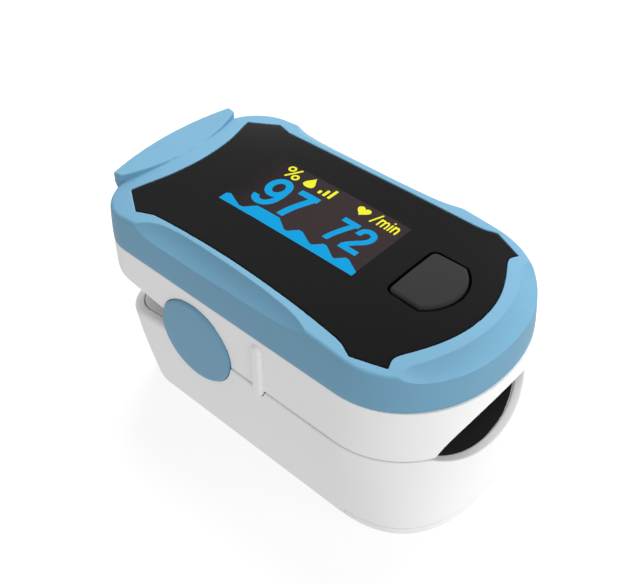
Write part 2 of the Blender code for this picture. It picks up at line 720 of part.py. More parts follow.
def hinge():
    # radius, y
    pin = [(0.8, 11.35), (1.0, 11.5), (1.0, 15.9), (0.8, 16.05)]
    disc = [
        (DISC_R, 16.4), (DISC_R, 17.1), (DISC_R - 0.12, 17.28), (DISC_R - 0.45, 17.4),
        (4.0, 17.46),
    ]
    for name, solid, material in (
        ("hinge_pin", turned_hinge(pin, 24), "spring_steel"),
        ("torsion_spring", torsion_spring(), "spring_steel"),
        ("side_disc", turned_hinge(disc, 48), "frame_blue"),
    ):
        part(f"{name}_left", solid, material, LOWER)
        part(f"{name}_right", flip_y(solid), material, LOWER)


# ------------------------------------------------------------------ battery bay
def battery_cells():
    """Two cells lying opposite ways: the left one's nub is in front, the right one's behind."""
    end_r, bevel, step = 4.6, 0.5, 0.01
    body = [
        (end_r, CELL_X0), (CELL_R, CELL_X0 + bevel), (CELL_R, CELL_X1 - bevel), (end_r, CELL_X1),
    ]
    front_nub = [(NUB_R, CELL_X1 + step), (NUB_R, CELL_X1 + NUB_LENGTH)]
    rear_nub = [(NUB_R, CELL_X0 - NUB_LENGTH), (NUB_R, CELL_X0 - step)]
    for side, y, profile in (
        ("left", CELL_Y, body + front_nub), ("right", -CELL_Y, rear_nub + body),
    ):
        part(f"battery_cell_{side}", turned_x(y, CELL_Z, profile, 32), "cell_wrap", LOWER)


def contact_spring(cell_end, outward, y):
    """Conical coil at a cell's flat end, widening away from it; outward is +1 or -1 along X."""
    turns, steps = 2.4, 34
    path = []
    for i in range(steps + 1):
        share = i / steps
        angle = 2 * math.pi * turns * share
        radius = 1.5 + 1.3 * share
        path.append((cell_end + outward * (0.25 + share), y + radius * math.cos(angle),
                     CELL_Z + radius * math.sin(angle)))
    return tube(path, 0.2)


def contacts():
    part("rear_contact_spring", contact_spring(CELL_X0, -1, CELL_Y), "spring_steel", LOWER)
    part("front_contact_spring", contact_spring(CELL_X1, 1, -CELL_Y), "spring_steel", LOWER)
    # y, z
    bridge = [
        (-11.0, 3.5), (-4.0, 3.5), (-4.0, 8.4), (4.0, 8.4),
        (4.0, 3.5), (11.0, 3.5), (11.0, 9.6), (-11.0, 9.6),
    ]
    part("rear_contact_bridge", prism_yz(bridge, -21.4, -21.05), "nickel_contact", LOWER)
    plate = box(25.7, 26.1, 4.5, 11.3, 3.5, 9.5)
    part("front_contact_positive", plate, "nickel_contact", LOWER)
    part("front_contact_negative", flip_y(plate), "nickel_contact", LOWER)


def battery_cover():
    top = 1.05
    cover = part("battery_cover", prism_xy(bay_outline(0.3, 20.5), 0.0, top),
                 "shell_white", COVER)
    add(cover, "tongues", slab(-16.2, 20.3, 14.7, 0.55, top))
    # The front end carries on the lower shell's outline.
    rings = [lower_ring(*row) for row in FOOT_EDGE + [(0.0, 1.4)]]
    nose = helper("tool_cover_nose", loft(rings))
    clip = helper("tool_cover_nose_clip", slab(19.7, 45, 20, -3, 5))
    boolean(nose, "front_part", "INTERSECT", clip)
    boolean(cover, "nose", "UNION", nose)
    pitch = 1.3
    cut(cover, "grip_grooves",
        group(slab(22.0 + pitch * k, 22.6 + pitch * k, 5.0, -1.0, 0.3) for k in range(4)))
    cut(cover, "cell_relief", slab(15.0, 25.3, 13.0, top, 5.0))


for build in (
    top_frame, upper_shell, upper_inner_cover, upper_finger_pad, display_window, main_board,
    upper_components, button_switch, power_button, screws, lower_shell, lower_inner_cover,
    lower_finger_pad, sensor_and_cable, hinge, battery_cells, contacts, battery_cover,
):
    build()
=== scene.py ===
# The look of the fingertip pulse oximeter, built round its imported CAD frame.
# Lengths inside this file are millimetres in the row frame; meshes are written in metres.
import math

import bmesh
import bpy
import numpy as np
from mathutils import Matrix, Vector


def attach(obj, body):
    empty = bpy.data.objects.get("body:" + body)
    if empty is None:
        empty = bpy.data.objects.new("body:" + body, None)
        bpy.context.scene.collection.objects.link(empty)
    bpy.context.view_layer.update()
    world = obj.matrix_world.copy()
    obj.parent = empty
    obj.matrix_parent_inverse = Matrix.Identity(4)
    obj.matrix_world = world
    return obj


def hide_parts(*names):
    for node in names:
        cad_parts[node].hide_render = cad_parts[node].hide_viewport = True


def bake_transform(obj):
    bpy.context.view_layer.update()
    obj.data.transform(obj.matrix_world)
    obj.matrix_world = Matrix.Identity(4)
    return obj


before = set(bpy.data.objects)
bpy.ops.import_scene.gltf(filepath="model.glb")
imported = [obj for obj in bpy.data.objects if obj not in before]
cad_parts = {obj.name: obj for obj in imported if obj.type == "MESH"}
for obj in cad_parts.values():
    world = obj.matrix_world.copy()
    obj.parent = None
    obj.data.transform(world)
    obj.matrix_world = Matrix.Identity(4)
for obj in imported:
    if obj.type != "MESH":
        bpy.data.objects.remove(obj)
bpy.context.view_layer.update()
MM = 0.001

# ------------------------------------------------------------------ dimensions shared with the frame (mm)
HALF_W, FRONT_X, NOSE_A = 17.0, 31.6, 14.3
REAR_UP, CORNER_R = -28.2, 6.4
AX, AZ, DISC_R = -8.0, 16.0, 6.7
FRAME_Z = 24.65
WALL, WALL_LOW = 1.6, 1.5
ARCH_Z, ARCH_R, BED_R, BED_Z = 11.4, 10.6, 19.8, 11.9
BTN_X0, BTN_X1, BTN_HALF, BTN_Y = 14.7, 22.4, 4.95, 1.0
PAD_X0 = -14.0
CELL_R, CELL_Y, CELL_Z, CELL_X0, CELL_X1, NUB = 5.25, 8.0, 6.5, -19.5, 24.2, 0.9
SCREWS_UP = [(18.6, 12.8, 15.4), (18.6, -12.8, 15.4), (-21.3, 11.4, 18.9), (-21.3, -11.4, 18.9)]
SCREWS_LOW = [(8.5, 0.0), (21.5, 0.0)]


# ------------------------------------------------------------------ outlines in plan
def plan(power, rear, corner=40, nose=220):
    pts = []
    for i in range(corner + 1):
        a = math.pi + (math.pi / 2) * i / corner
        pts.append((rear + CORNER_R + CORNER_R * math.cos(a), -(HALF_W - CORNER_R) + CORNER_R * math.sin(a)))
    for i in range(nose + 1):
        t = -math.pi / 2 + math.pi * i / nose
        c, s = abs(math.cos(t)), math.sin(t)
        pts.append((FRONT_X - NOSE_A + NOSE_A * c ** (2 / power), HALF_W * math.copysign(abs(s) ** (2 / power), s)))
    for i in range(corner + 1):
        a = math.pi / 2 + (math.pi / 2) * i / corner
        pts.append((rear + CORNER_R + CORNER_R * math.cos(a), (HALF_W - CORNER_R) + CORNER_R * math.sin(a)))
    return pts


def arc_between(p, q, bulge, n):
    (x0, y0), (x1, y1) = p, q
    mx, my = (x0 + x1) / 2, (y0 + y1) / 2
    half = math.hypot(x1 - x0, y1 - y0) / 2
    ux, uy = (x1 - x0) / (2 * half), (y1 - y0) / (2 * half)
    nx, ny = -uy, ux
    r = (half * half + bulge * bulge) / (2 * abs(bulge))
    s = math.copysign(1, bulge)
    cx, cy = mx + nx * (bulge - s * r), my + ny * (bulge - s * r)
    th = math.asin(half / r)
    out = []
    for i in range(n + 1):
        a = -th + 2 * th * i / n
        out.append((cx + s * nx * r * math.cos(a) + ux * r * math.sin(a), cy + s * ny * r * math.cos(a) + uy * r * math.sin(a)))
    return out


def spline(pts, n=8):
    """Smooth open curve through points."""
    p = np.array([pts[0]] + list(pts) + [pts[-1]], float)
    out = []
    for i in range(1, len(p) - 2):
        for k in range(n):
            t = k / n
            out.append(0.5 * (2 * p[i] + (p[i + 1] - p[i - 1]) * t + (2 * p[i - 1] - 5 * p[i] + 4 * p[i + 1] - p[i + 2]) * t * t + (3 * p[i] - p[i - 1] - 3 * p[i + 1] + p[i + 2]) * t ** 3))
    out.append(p[-1])
    return [tuple(v) for v in out]


def window_outline():
    waist = spline([(-18.6, 13.4), (-13.0, 13.22), (-5.0, 13.2), (0.0, 13.33), (5.0, 13.55), (10.0, 13.83), (15.2, 14.25)], 6)
    ear = [(16.5, 14.5), (18.25, 15.3), (22.75, 13.6)]
    front = spline([(22.75, 13.6), (22.3, 12.3), (22.6, 11.2), (23.3, 10.0), (24.4, 8.0), (25.3, 6.0), (25.95, 4.0), (26.33, 2.0), (26.45, 0.0)], 6)
    rear = spline([(-22.75, 0.0), (-22.85, 2.0), (-23.1, 4.0), (-23.5, 6.0), (-24.15, 8.0), (-24.92, 10.0), (-25.55, 11.6)], 6)
    half = rear[1:] + [(-21.35, 14.32)] + waist + ear[:2] + front
    return half[:-1] + [(half[-1][0], 0.0)] + [(x, -y) for x, y in reversed(half[:-1])] + [(-22.75, 0.0)]


def button_outline():
    w, r = BTN_HALF, 0.9
    pts = []
    for sy, a0 in ((-1, 180), (1, 90)):
        corner = [(BTN_X0 + r + r * math.cos(math.radians(a)), sy * (w - r) + r * math.sin(math.radians(a))) for a in range(a0, a0 + 91, 10)]
        pts += corner
        if sy < 0:
            pts += arc_between((19.8, -w - 0.1), (19.8, w + 0.1), -(BTN_X1 - 19.8), 40)
    return [(x, y + BTN_Y) for x, y in pts]


def tab_outline():
    out = arc_between((-29.5, 11.4), (-29.5, -11.4), -1.4, 40)
    inner = arc_between((-28.2, -11.2), (-28.2, 11.2), -2.6, 40)
    return out + inner


def bay_outline(x1):
    x0, h, c = -20.9, 14.3, 3.6
    return [(x0, -h + c), (x0 + c, -h), (x1, -h), (x1, h), (x0 + c, h), (x0, h - c)]


# ------------------------------------------------------------------ signed distance toolkit
class Outline:
    """Signed distance to a closed plan polygon, negative inside, held on a fine grid."""

    def __init__(self, pts, h=0.15, pad=4.0):
        p = np.array(pts, float)
        q = np.roll(p, -1, 0)
        keep = np.hypot(*(q - p).T) > 1e-7
        p, q = p[keep], q[keep]
        self.lo, self.h = p.min(0) - pad, h
        self.nx, self.ny = [int(v) for v in np.ceil((p.max(0) + pad - self.lo) / h) + 2]
        gx, gy = np.meshgrid(self.lo[0] + h * np.arange(self.nx), self.lo[1] + h * np.arange(self.ny), indexing="ij")
        gx, gy = gx.astype(np.float32), gy.astype(np.float32)
        best = np.full(gx.shape, 1e9, np.float32)
        inside = np.zeros(gx.shape, bool)
        for (ax, ay), (bx, by) in zip(p, q):
            ex, ey = bx - ax, by - ay
            wx, wy = gx - ax, gy - ay
            t = np.clip((wx * ex + wy * ey) / (ex * ex + ey * ey), 0, 1)
            wx -= ex * t
            wy -= ey * t
            np.minimum(best, wx * wx + wy * wy, out=best)
            if ay != by:
                cross = (gy >= min(ay, by)) & (gy < max(ay, by)) & (gx < ax + (gy - ay) * (ex / ey))
                inside ^= cross
        self.g = (np.sqrt(best) * np.where(inside, -1, 1)).astype(np.float32).ravel()

    def __call__(self, x, y):
        u, v = (x - self.lo[0]) / self.h, (y - self.lo[1]) / self.h
        uc, vc = np.clip(u, 0, self.nx - 1.01), np.clip(v, 0, self.ny - 1.01)
        i, j = uc.astype(np.int32), vc.astype(np.int32)
        fu, fv = uc - i, vc - j
        k = i * self.ny + j
        g = self.g
        inner = (g[k] * (1 - fu) + g[k + self.ny] * fu) * (1 - fv) + (g[k + 1] * (1 - fu) + g[k + self.ny + 1] * fu) * fv
        return inner + np.hypot(u - uc, v - vc) * self.h


def iround(a, b, r):
    return np.minimum(-r, np.maximum(a, b)) + np.hypot(np.maximum(r + a, 0), np.maximum(r + b, 0))


def uround(a, b, r):
    return np.maximum(r, np.minimum(a, b)) - np.hypot(np.maximum(r - a, 0), np.maximum(r - b, 0))


def dround(a, b, r):
    return iround(a, -b, r)


def slab(t, a, b):
    return np.abs(t - (a + b) / 2) - (b - a) / 2


def rect(u, v, u0, u1, v0, v1, r=0.0):
    a, b = slab(u, u0, u1) + r, slab(v, v0, v1) + r
    return np.hypot(np.maximum(a, 0), np.maximum(b, 0)) + np.minimum(np.maximum(a, b), 0) - r


def brick(x, y, z, x0, x1, y0, y1, z0, z1, r=0.0):
    a, b, c = slab(x, x0, x1) + r, slab(y, y0, y1) + r, slab(z, z0, z1) + r
    out = np.sqrt(np.maximum(a, 0) ** 2 + np.maximum(b, 0) ** 2 + np.maximum(c, 0) ** 2)
    return out + np.minimum(np.maximum(np.maximum(a, b), c), 0) - r


def capsule(u, v, u0, v0, u1, v1, r):
    eu, ev = u1 - u0, v1 - v0
    t = np.clip(((u - u0) * eu + (v - v0) * ev) / (eu * eu + ev * ev), 0, 1)
    return np.hypot(u - u0 - eu * t, v - v0 - ev * t) - r


def smooth(t):
    t = np.clip(t, 0, 1)
    return t * t * (3 - 2 * t)


def gradient(f, p, h=0.04):
    x, y, z = p.T
    g = np.stack([f(x + h, y, z) - f(x - h, y, z), f(x, y + h, z) - f(x, y - h, z), f(x, y, z + h) - f(x, y, z - h)], 1) / (2 * h)
    return g


def contour(f, lo, hi, cell):
    """Vertices and quads of f = 0 by dual contouring on a regular grid, refined only near the surface."""
    B = 4
    lo = np.array(lo, float) - 0.37 * cell
    nb = np.ceil((np.array(hi, float) + 1.5 * cell - lo) / (cell * B)).astype(int)
    axes = [lo[k] + cell * B * np.arange(nb[k] + 1) for k in range(3)]
    X, Y, Z = np.meshgrid(*axes, indexing="ij")
    C = f(X.ravel(), Y.ravel(), Z.ravel()).reshape(X.shape)
    near = np.full(tuple(nb), 1e9)
    for a in (0, 1):
        for b in (0, 1):
            for c in (0, 1):
                near = np.minimum(near, np.abs(C[a : a + nb[0], b : b + nb[1], c : c + nb[2]]))
    active = near < cell * B * 1.15
    n = nb * B
    F = np.where(C[:-1, :-1, :-1] < 0, -9.0, 9.0).repeat(B, 0).repeat(B, 1).repeat(B, 2)
    F = np.pad(F, ((0, 1),) * 3, mode="edge")
    mask = np.zeros(F.shape, bool)
    fine = active.repeat(B, 0).repeat(B, 1).repeat(B, 2)
    for a in (0, 1):
        for b in (0, 1):
            for c in (0, 1):
                mask[a : a + n[0], b : b + n[1], c : c + n[2]] |= fine
    I = np.argwhere(mask)
    P = lo + I * cell
    F[mask] = f(P[:, 0], P[:, 1], P[:, 2])
    S = F < 0
    shape = tuple(n)
    total = int(np.prod(n))
    cellid = lambda i, j, k: (i * n[1] + j) * n[2] + k
    acc, quads = {}, []
    sums = [np.zeros(total) for _ in range(13)]
    stride = [np.eye(3, dtype=int)[k] for k in range(3)]
    for ax in range(3):
        sl_a = [slice(None)] * 3
        sl_b = [slice(None)] * 3
        sl_a[ax], sl_b[ax] = slice(0, -1), slice(1, None)
        diff = S[tuple(sl_a)] != S[tuple(sl_b)]
        E = np.argwhere(diff)
        ok = np.ones(len(E), bool)
        o1, o2 = [k for k in range(3) if k != ax]
        for o in (o1, o2):
            ok &= (E[:, o] > 0) & (E[:, o] < n[o])
        E = E[ok]
        if not len(E):
            continue
        A = E
        Bp = E + stride[ax]
        fa, fb = F[A[:, 0], A[:, 1], A[:, 2]], F[Bp[:, 0], Bp[:, 1], Bp[:, 2]]
        t = fa / (fa - fb)
        Q = lo + A * cell
        Q[:, ax] += t * cell
        g = gradient(f, Q, 0.03)
        g /= np.linalg.norm(g, axis=1, keepdims=True) + 1e-12
        d = (g * Q).sum(1)
        comps = [g[:, 0] ** 2, g[:, 1] ** 2, g[:, 2] ** 2, g[:, 0] * g[:, 1], g[:, 0] * g[:, 2], g[:, 1] * g[:, 2], g[:, 0] * d, g[:, 1] * d, g[:, 2] * d, Q[:, 0], Q[:, 1], Q[:, 2], np.ones(len(Q))]
        ids = []
        for s1, s2 in ((0, 0), (1, 0), (1, 1), (0, 1)):
            c = E.copy()
            c[:, o1] -= s1
            c[:, o2] -= s2
            ident = cellid(c[:, 0], c[:, 1], c[:, 2])
            ids.append(ident)
            for k in range(13):
                sums[k] += np.bincount(ident, comps[k], total)
        q = np.stack(ids, 1)
        # orientation: outward normal along +ax where the lower end is inside
        keep_order = (fa < 0) if ax != 1 else (fa >= 0)
        q[~keep_order] = q[~keep_order][:, ::-1]
        quads.append(q)
    used = np.nonzero(sums[12] > 0)[0]
    s = [v[used] for v in sums]
    cnt = s[12]
    m = np.stack([s[9], s[10], s[11]], 1) / cnt[:, None]
    A = np.empty((len(used), 3, 3))
    A[:, 0, 0], A[:, 1, 1], A[:, 2, 2] = s[0], s[1], s[2]
    A[:, 0, 1] = A[:, 1, 0] = s[3]
    A[:, 0, 2] = A[:, 2, 0] = s[4]
    A[:, 1, 2] = A[:, 2, 1] = s[5]
    b = np.stack([s[6], s[7], s[8]], 1) - np.einsum("nij,nj->ni", A, m)
    A += np.eye(3) * (0.04 * cnt)[:, None, None]
    V = m + np.linalg.solve(A, b[:, :, None])[:, :, 0]
    ci = np.stack(np.unravel_index(used, shape), 1)
    c0 = lo + ci * cell
    V = np.clip(V, c0 - 0.1 * cell, c0 + 1.1 * cell)
    for _ in range(2):
        g = gradient(f, V, 0.04)
        val = f(V[:, 0], V[:, 1], V[:, 2])
        stepv = (val / np.maximum((g * g).sum(1), 0.25))[:, None] * g
        ln = np.linalg.norm(stepv, axis=1, keepdims=True)
        V = V - stepv * np.minimum(1, 0.45 * cell / np.maximum(ln, 1e-9))
    remap = np.full(total, -1)
    remap[used] = np.arange(len(used))
    return V, remap[np.concatenate(quads)]


def raw_mesh(name, verts, faces):
    """Mesh in metres from arrays; faces all of one size."""
    me = bpy.data.meshes.new(name)
    faces = np.asarray(faces)
    nf, k = faces.shape
    me.vertices.add(len(verts))
    me.vertices.foreach_set("co", (np.asarray(verts) * MM).astype(np.float32).ravel())
    me.loops.add(nf * k)
    me.loops.foreach_set("vertex_index", faces.astype(np.int32).ravel())
    me.polygons.add(nf)
    me.polygons.foreach_set("loop_start", np.arange(0, nf * k, k, dtype=np.int32))
    me.polygons.foreach_set("loop_total", np.full(nf, k, np.int32))
    me.update(calc_edges=True)
    me.validate()
    return me


def set_normals(me, f, reach=0.12):
    """Corner normals from the exact surface, read a little way inside each face so that edges stay crisp."""
    nl = len(me.loops)
    vi = np.empty(nl, np.int32)
    me.loops.foreach_get("vertex_index", vi)
    co = np.empty(len(me.vertices) * 3, np.float32)
    me.vertices.foreach_get("co", co)
    co = co.reshape(-1, 3).astype(float) / MM
    total = np.empty(len(me.polygons), np.int32)
    me.polygons.foreach_get("loop_total", total)
    cen = np.empty(len(me.polygons) * 3, np.float32)
    me.polygons.foreach_get("center", cen)
    cen = np.repeat(cen.reshape(-1, 3) / MM, total, 0)
    fn = np.empty(len(me.polygons) * 3, np.float32)
    me.polygons.foreach_get("normal", fn)
    fn = np.repeat(fn.reshape(-1, 3), total, 0)
    v = co[vi]
    d = cen - v
    ln = np.linalg.norm(d, axis=1, keepdims=True)
    p = v + d * np.minimum(0.4, reach / np.maximum(ln, 1e-9))
    g = gradient(f, p, 0.05)
    g /= np.linalg.norm(g, axis=1, keepdims=True) + 1e-12
    bad = (g * fn).sum(1) < 0.2
    g[bad] = fn[bad]
    me.polygons.foreach_set("use_smooth", np.ones(len(me.polygons), bool))
    me.normals_split_custom_set(g.tolist())
    me.update()


def link(name, me, mat):
    ob = bpy.data.objects.new(name, me)
    bpy.context.scene.collection.objects.link(ob)
    if mat is not None:
        ob.data.materials.clear()
        ob.data.materials.append(mat)
    return ob


def decimated(me, ratio):
    ob = link("tmp_reduce", me, None)
    tri = ob.modifiers.new("t", "TRIANGULATE")
    dec = ob.modifiers.new("d", "DECIMATE")
    dec.ratio = ratio
    dg = bpy.context.evaluated_depsgraph_get()
    out = bpy.data.meshes.new_from_object(ob.evaluated_get(dg))
    bpy.data.objects.remove(ob)
    return out


def sculpt(name, f, lo, hi, cell, ratio, mat, body, node=None, mirror=False):
    """A finished piece from a signed distance function. The mirror argument is not used."""
    V, Q = contour(f, lo, hi, cell)
    me = raw_mesh(name, V, Q)
    if ratio < 1:
        me = decimated(me, ratio)
        me.name = name
    set_normals(me, f)
    ob = link(name, me, mat)
    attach(ob, body)
    if node:
        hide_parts(*([node] if isinstance(node, str) else node))
    return ob


# ------------------------------------------------------------------ procedural materials
def shader(name, rgb, rough, metal=0.0, grain=6500.0, bump=0.12, mottle=0.04, rough_var=0.06, coat=0.0, spec=0.5, emission=None, glow=1.0, transmission=0.0, ior=1.46, stretch=None, painted_edge_highlight=0.0):
    """Principled material whose colour, roughness and bump vary with noise laid in the row frame."""
    m = bpy.data.materials.new(name)
    m.use_nodes = True
    nt = m.node_tree
    nd = nt.nodes
    b = nd["Principled BSDF"]
    lk = nt.links.new
    tc = nd.new("ShaderNodeTexCoord")
    src = tc.outputs["Object"]
    if stretch:
        mp = nd.new("ShaderNodeMapping")
        mp.inputs["Scale"].default_value = stretch
        lk(src, mp.inputs["Vector"])
        src = mp.outputs["Vector"]
    broad = nd.new("ShaderNodeTexNoise")
    broad.inputs["Scale"].default_value = 90.0
    broad.inputs["Detail"].default_value = 3.0
    lk(tc.outputs["Object"], broad.inputs["Vector"])
    fine = nd.new("ShaderNodeTexNoise")
    fine.inputs["Scale"].default_value = grain
    fine.inputs["Detail"].default_value = 2.0
    lk(src, fine.inputs["Vector"])
    ramp = nd.new("ShaderNodeMapRange")
    ramp.inputs["From Min"].default_value = 0.3
    ramp.inputs["From Max"].default_value = 0.7
    ramp.inputs["To Min"].default_value = 1.0 - mottle
    ramp.inputs["To Max"].default_value = 1.0 + mottle
    lk(broad.outputs["Fac"], ramp.inputs["Value"])
    base = nd.new("ShaderNodeRGB")
    base.outputs[0].default_value = (*rgb, 1.0)
    tint = nd.new("ShaderNodeVectorMath")
    tint.operation = "SCALE"
    lk(base.outputs[0], tint.inputs[0])
    lk(ramp.outputs["Result"], tint.inputs["Scale"])
    colour = tint.outputs["Vector"]
    # painted highlight: convex edges, found by pointiness, are lightened in the base colour to stand in for light
    # catching the bevels
    if painted_edge_highlight:
        geo = nd.new("ShaderNodeNewGeometry")
        edge = nd.new("ShaderNodeMapRange")
        edge.inputs["From Min"].default_value = 0.52
        edge.inputs["From Max"].default_value = 0.62
        edge.inputs["To Max"].default_value = painted_edge_highlight
        lk(geo.outputs["Pointiness"], edge.inputs["Value"])
        mix = nd.new("ShaderNodeMix")
        mix.data_type = "RGBA"
        lk(edge.outputs["Result"], mix.inputs["Factor"])
        lk(colour, mix.inputs[6])
        mix.inputs[7].default_value = (*[min(1.0, c * 1.25 + 0.03) for c in rgb], 1.0)
        colour = mix.outputs[2]
    lk(colour, b.inputs["Base Color"])
    rr = nd.new("ShaderNodeMapRange")
    rr.inputs["From Min"].default_value = 0.25
    rr.inputs["From Max"].default_value = 0.75
    rr.inputs["To Min"].default_value = max(0.02, rough - rough_var)
    rr.inputs["To Max"].default_value = rough + rough_var
    lk(fine.outputs["Fac"], rr.inputs["Value"])
    lk(rr.outputs["Result"], b.inputs["Roughness"])
    if bump:
        bp = nd.new("ShaderNodeBump")
        bp.inputs["Strength"].default_value = bump
        bp.inputs["Distance"].default_value = 0.00003
        lk(fine.outputs["Fac"], bp.inputs["Height"])
        lk(bp.outputs["Normal"], b.inputs["Normal"])
    b.inputs["Metallic"].default_value = metal
    b.inputs["IOR"].default_value = ior
    b.inputs["Specular IOR Level"].default_value = spec
    if coat:
        b.inputs["Coat Weight"].default_value = coat
        b.inputs["Coat Roughness"].default_value = 0.06
    if transmission:
        b.inputs["Transmission Weight"].default_value = transmission
    if emission:
        b.inputs["Emission Color"].default_value = (*emission, 1.0)
        b.inputs["Emission Strength"].default_value = glow
    m.diffuse_color = (*rgb, 1.0)
    return m


# the blue carries a painted highlight along its convex edges
BLUE = shader("blue_satin_plastic", (0.150, 0.340, 0.492), 0.46, grain=7000, bump=0.16, mottle=0.02, rough_var=0.05, spec=0.4, painted_edge_highlight=0.12)
WHITE = shader("white_moulded_plastic", (0.85, 0.85, 0.85), 0.38, grain=5200, bump=0.07, mottle=0.012, rough_var=0.05, spec=0.42)
# painted light: the white mouldings glow a little round the right of the nose, an emission that stands in for light
# falling on that side
wt = WHITE.node_tree
painted_glow_direction = wt.nodes.new("ShaderNodeVectorMath")
painted_glow_direction.operation = "DOT_PRODUCT"
painted_glow_direction.inputs[1].default_value = (0.8, 0.6, 0.0)
wt.links.new(next(n for n in wt.nodes if n.type == "TEX_COORD").outputs["Object"], painted_glow_direction.inputs[0])
painted_glow_strength = wt.nodes.new("ShaderNodeMapRange")
painted_glow_strength.interpolation_type = "SMOOTHSTEP"
for key, value in (("From Min", 0.014), ("From Max", 0.029), ("To Min", 0.0), ("To Max", 0.13)):
    painted_glow_strength.inputs[key].default_value = value
wt.links.new(painted_glow_direction.outputs["Value"], painted_glow_strength.inputs["Value"])
# painted highlight: white emission whose strength rises towards the right of the nose
wt.nodes["Principled BSDF"].inputs["Emission Color"].default_value = (1, 1, 1, 1)
wt.links.new(painted_glow_strength.outputs["Result"], wt.nodes["Principled BSDF"].inputs["Emission Strength"])
WHITE_IN = shader("white_inner_plastic", (0.72, 0.72, 0.725), 0.5, grain=4200, bump=0.12, mottle=0.015, rough_var=0.05, spec=0.4)
WINDOW = shader("smoked_black_window", (0.0038, 0.0038, 0.0038), 0.26, grain=1500, bump=0.0, mottle=0.05, rough_var=0.02, spec=0.2)
BUTTON = shader("dark_grey_button", (0.0175, 0.0175, 0.018), 0.42, spec=0.4, grain=8000, bump=0.14, mottle=0.03, rough_var=0.05)
RUBBER = shader("black_silicone", (0.012, 0.012, 0.0125), 0.66, grain=5200, bump=0.3, mottle=0.06, rough_var=0.08, spec=0.35)
LIT = shader("lit_screen_glass", (0.024, 0.0145, 0.0165), 0.26, spec=0.2, grain=4000, bump=0.0, mottle=0.04, rough_var=0.02)
# the lit area fades towards its rear end
lit = LIT.node_tree
lit_at = lit.nodes.new("ShaderNodeSeparateXYZ")
lit.links.new(next(n for n in lit.nodes if n.type == "TEX_COORD").outputs["Object"], lit_at.inputs[0])
lit_fade = lit.nodes.new("ShaderNodeMapRange")
lit_fade.interpolation_type = "SMOOTHSTEP"
for key, value in (("From Min", -0.0160), ("From Max", -0.0045), ("To Min", 0.22), ("To Max", 1.0)):
    lit_fade.inputs[key].default_value = value
lit.links.new(lit_at.outputs["X"], lit_fade.inputs["Value"])
lit_tint = next(n for n in lit.nodes if n.type == "VECT_MATH")
lit_mul = lit.nodes.new("ShaderNodeVectorMath")
lit_mul.operation = "SCALE"
lit.links.new(lit_tint.outputs["Vector"], lit_mul.inputs[0])
lit.links.new(lit_fade.outputs["Result"], lit_mul.inputs["Scale"])
lit.links.new(lit_mul.outputs["Vector"], lit.nodes["Principled BSDF"].inputs["Base Color"])
CYAN = shader("screen_blue_light", (0.0, 0.02, 0.03), 0.3, grain=4000, bump=0.0, mottle=0.02, emission=(0.0, 0.345, 0.74), glow=0.95, spec=0.1)
YELLOW = shader("screen_yellow_light", (0.03, 0.03, 0.0), 0.3, grain=4000, bump=0.0, mottle=0.02, spec=0.1, emission=(0.88, 0.86, 0.03), glow=1.0)
STEEL = shader("drawn_spring_steel", (0.60, 0.60, 0.62), 0.26, metal=1.0, grain=3000, bump=0.1, mottle=0.06, rough_var=0.08)
NICKEL = shader("nickel_plated_strip", (0.70, 0.66, 0.58), 0.28, metal=1.0, grain=2500, bump=0.08, mottle=0.06, rough_var=0.08)
BLACK_STEEL = shader("blackened_screw_steel", (0.10, 0.10, 0.11), 0.34, metal=1.0, grain=3500, bump=0.12, mottle=0.08)
WRAP = shader("cell_sleeve", (0.045, 0.075, 0.11), 0.3, grain=900, bump=0.05, mottle=0.05, coat=0.5)
WRAP_BAND = shader("cell_sleeve_band", (0.42, 0.44, 0.46), 0.28, metal=0.7, grain=900, bump=0.05, mottle=0.05, coat=0.4)
BOARD = shader("green_solder_mask", (0.012, 0.10, 0.045), 0.36, grain=1800, bump=0.18, mottle=0.12, coat=0.3)
CHIP = shader("black_epoxy_chip", (0.016, 0.016, 0.017), 0.5, grain=6500, bump=0.25, mottle=0.08)
GLASS_BLACK = shader("display_module_glass", (0.02, 0.02, 0.026), 0.1, grain=1200, bump=0.02, mottle=0.06, coat=0.6)
FLEX = shader("amber_flex_film", (0.52, 0.24, 0.04), 0.34, grain=1400, bump=0.06, mottle=0.08, coat=0.3)
LENS = shader("red_emitter_epoxy", (0.30, 0.03, 0.03), 0.12, grain=1500, bump=0.02, mottle=0.08, coat=0.8)
SENSOR = shader("dark_sensor_window", (0.015, 0.012, 0.02), 0.1, grain=1500, bump=0.02, mottle=0.1, coat=0.8)
PLUNGER = shader("switch_plunger_plastic", (0.03, 0.03, 0.03), 0.45, grain=5200, bump=0.12, mottle=0.05)

# ------------------------------------------------------------------ shared shape functions
UP = Outline(plan(2.1, REAR_UP))
LOW_A = Outline(plan(2.1, -26.0))
LOW_B = Outline(plan(2.6, -26.0))
WIN = Outline(window_outline(), 0.1, 2.5)
BTN = Outline(button_outline(), 0.08, 2.0)
TAB = Outline(tab_outline(), 0.12, 2.0)
BAY = Outline(bay_outline(60.0), 0.15, 2.0)


def crown(x, y):
    """Height of the top, which droops towards its four corners."""
    return 31.35 - 0.0003 * x * x - 9.2e-6 * (x * y) ** 2


def rear_shift(z):
    return -22.6 - 3.4 * np.minimum(z, 14.0) / 13.0 + 26.0


def low(x, y, z):
    """Distance to the lower jaw's outside: its rear leans in and its sides draw in towards the foot."""
    zc = np.clip(z, 0.0, 14.0)
    k = 1 - 0.042 * np.maximum(0.0, (9.0 - zc) / 9.0) ** 1.4
    xs = x - rear_shift(zc) * (1 - smooth((x + 14.0) / 20.0))
    t = 1 - zc / 14.0
    ys = y / k
    return LOW_A(xs, ys) * (1 - t) + LOW_B(xs, ys) * t


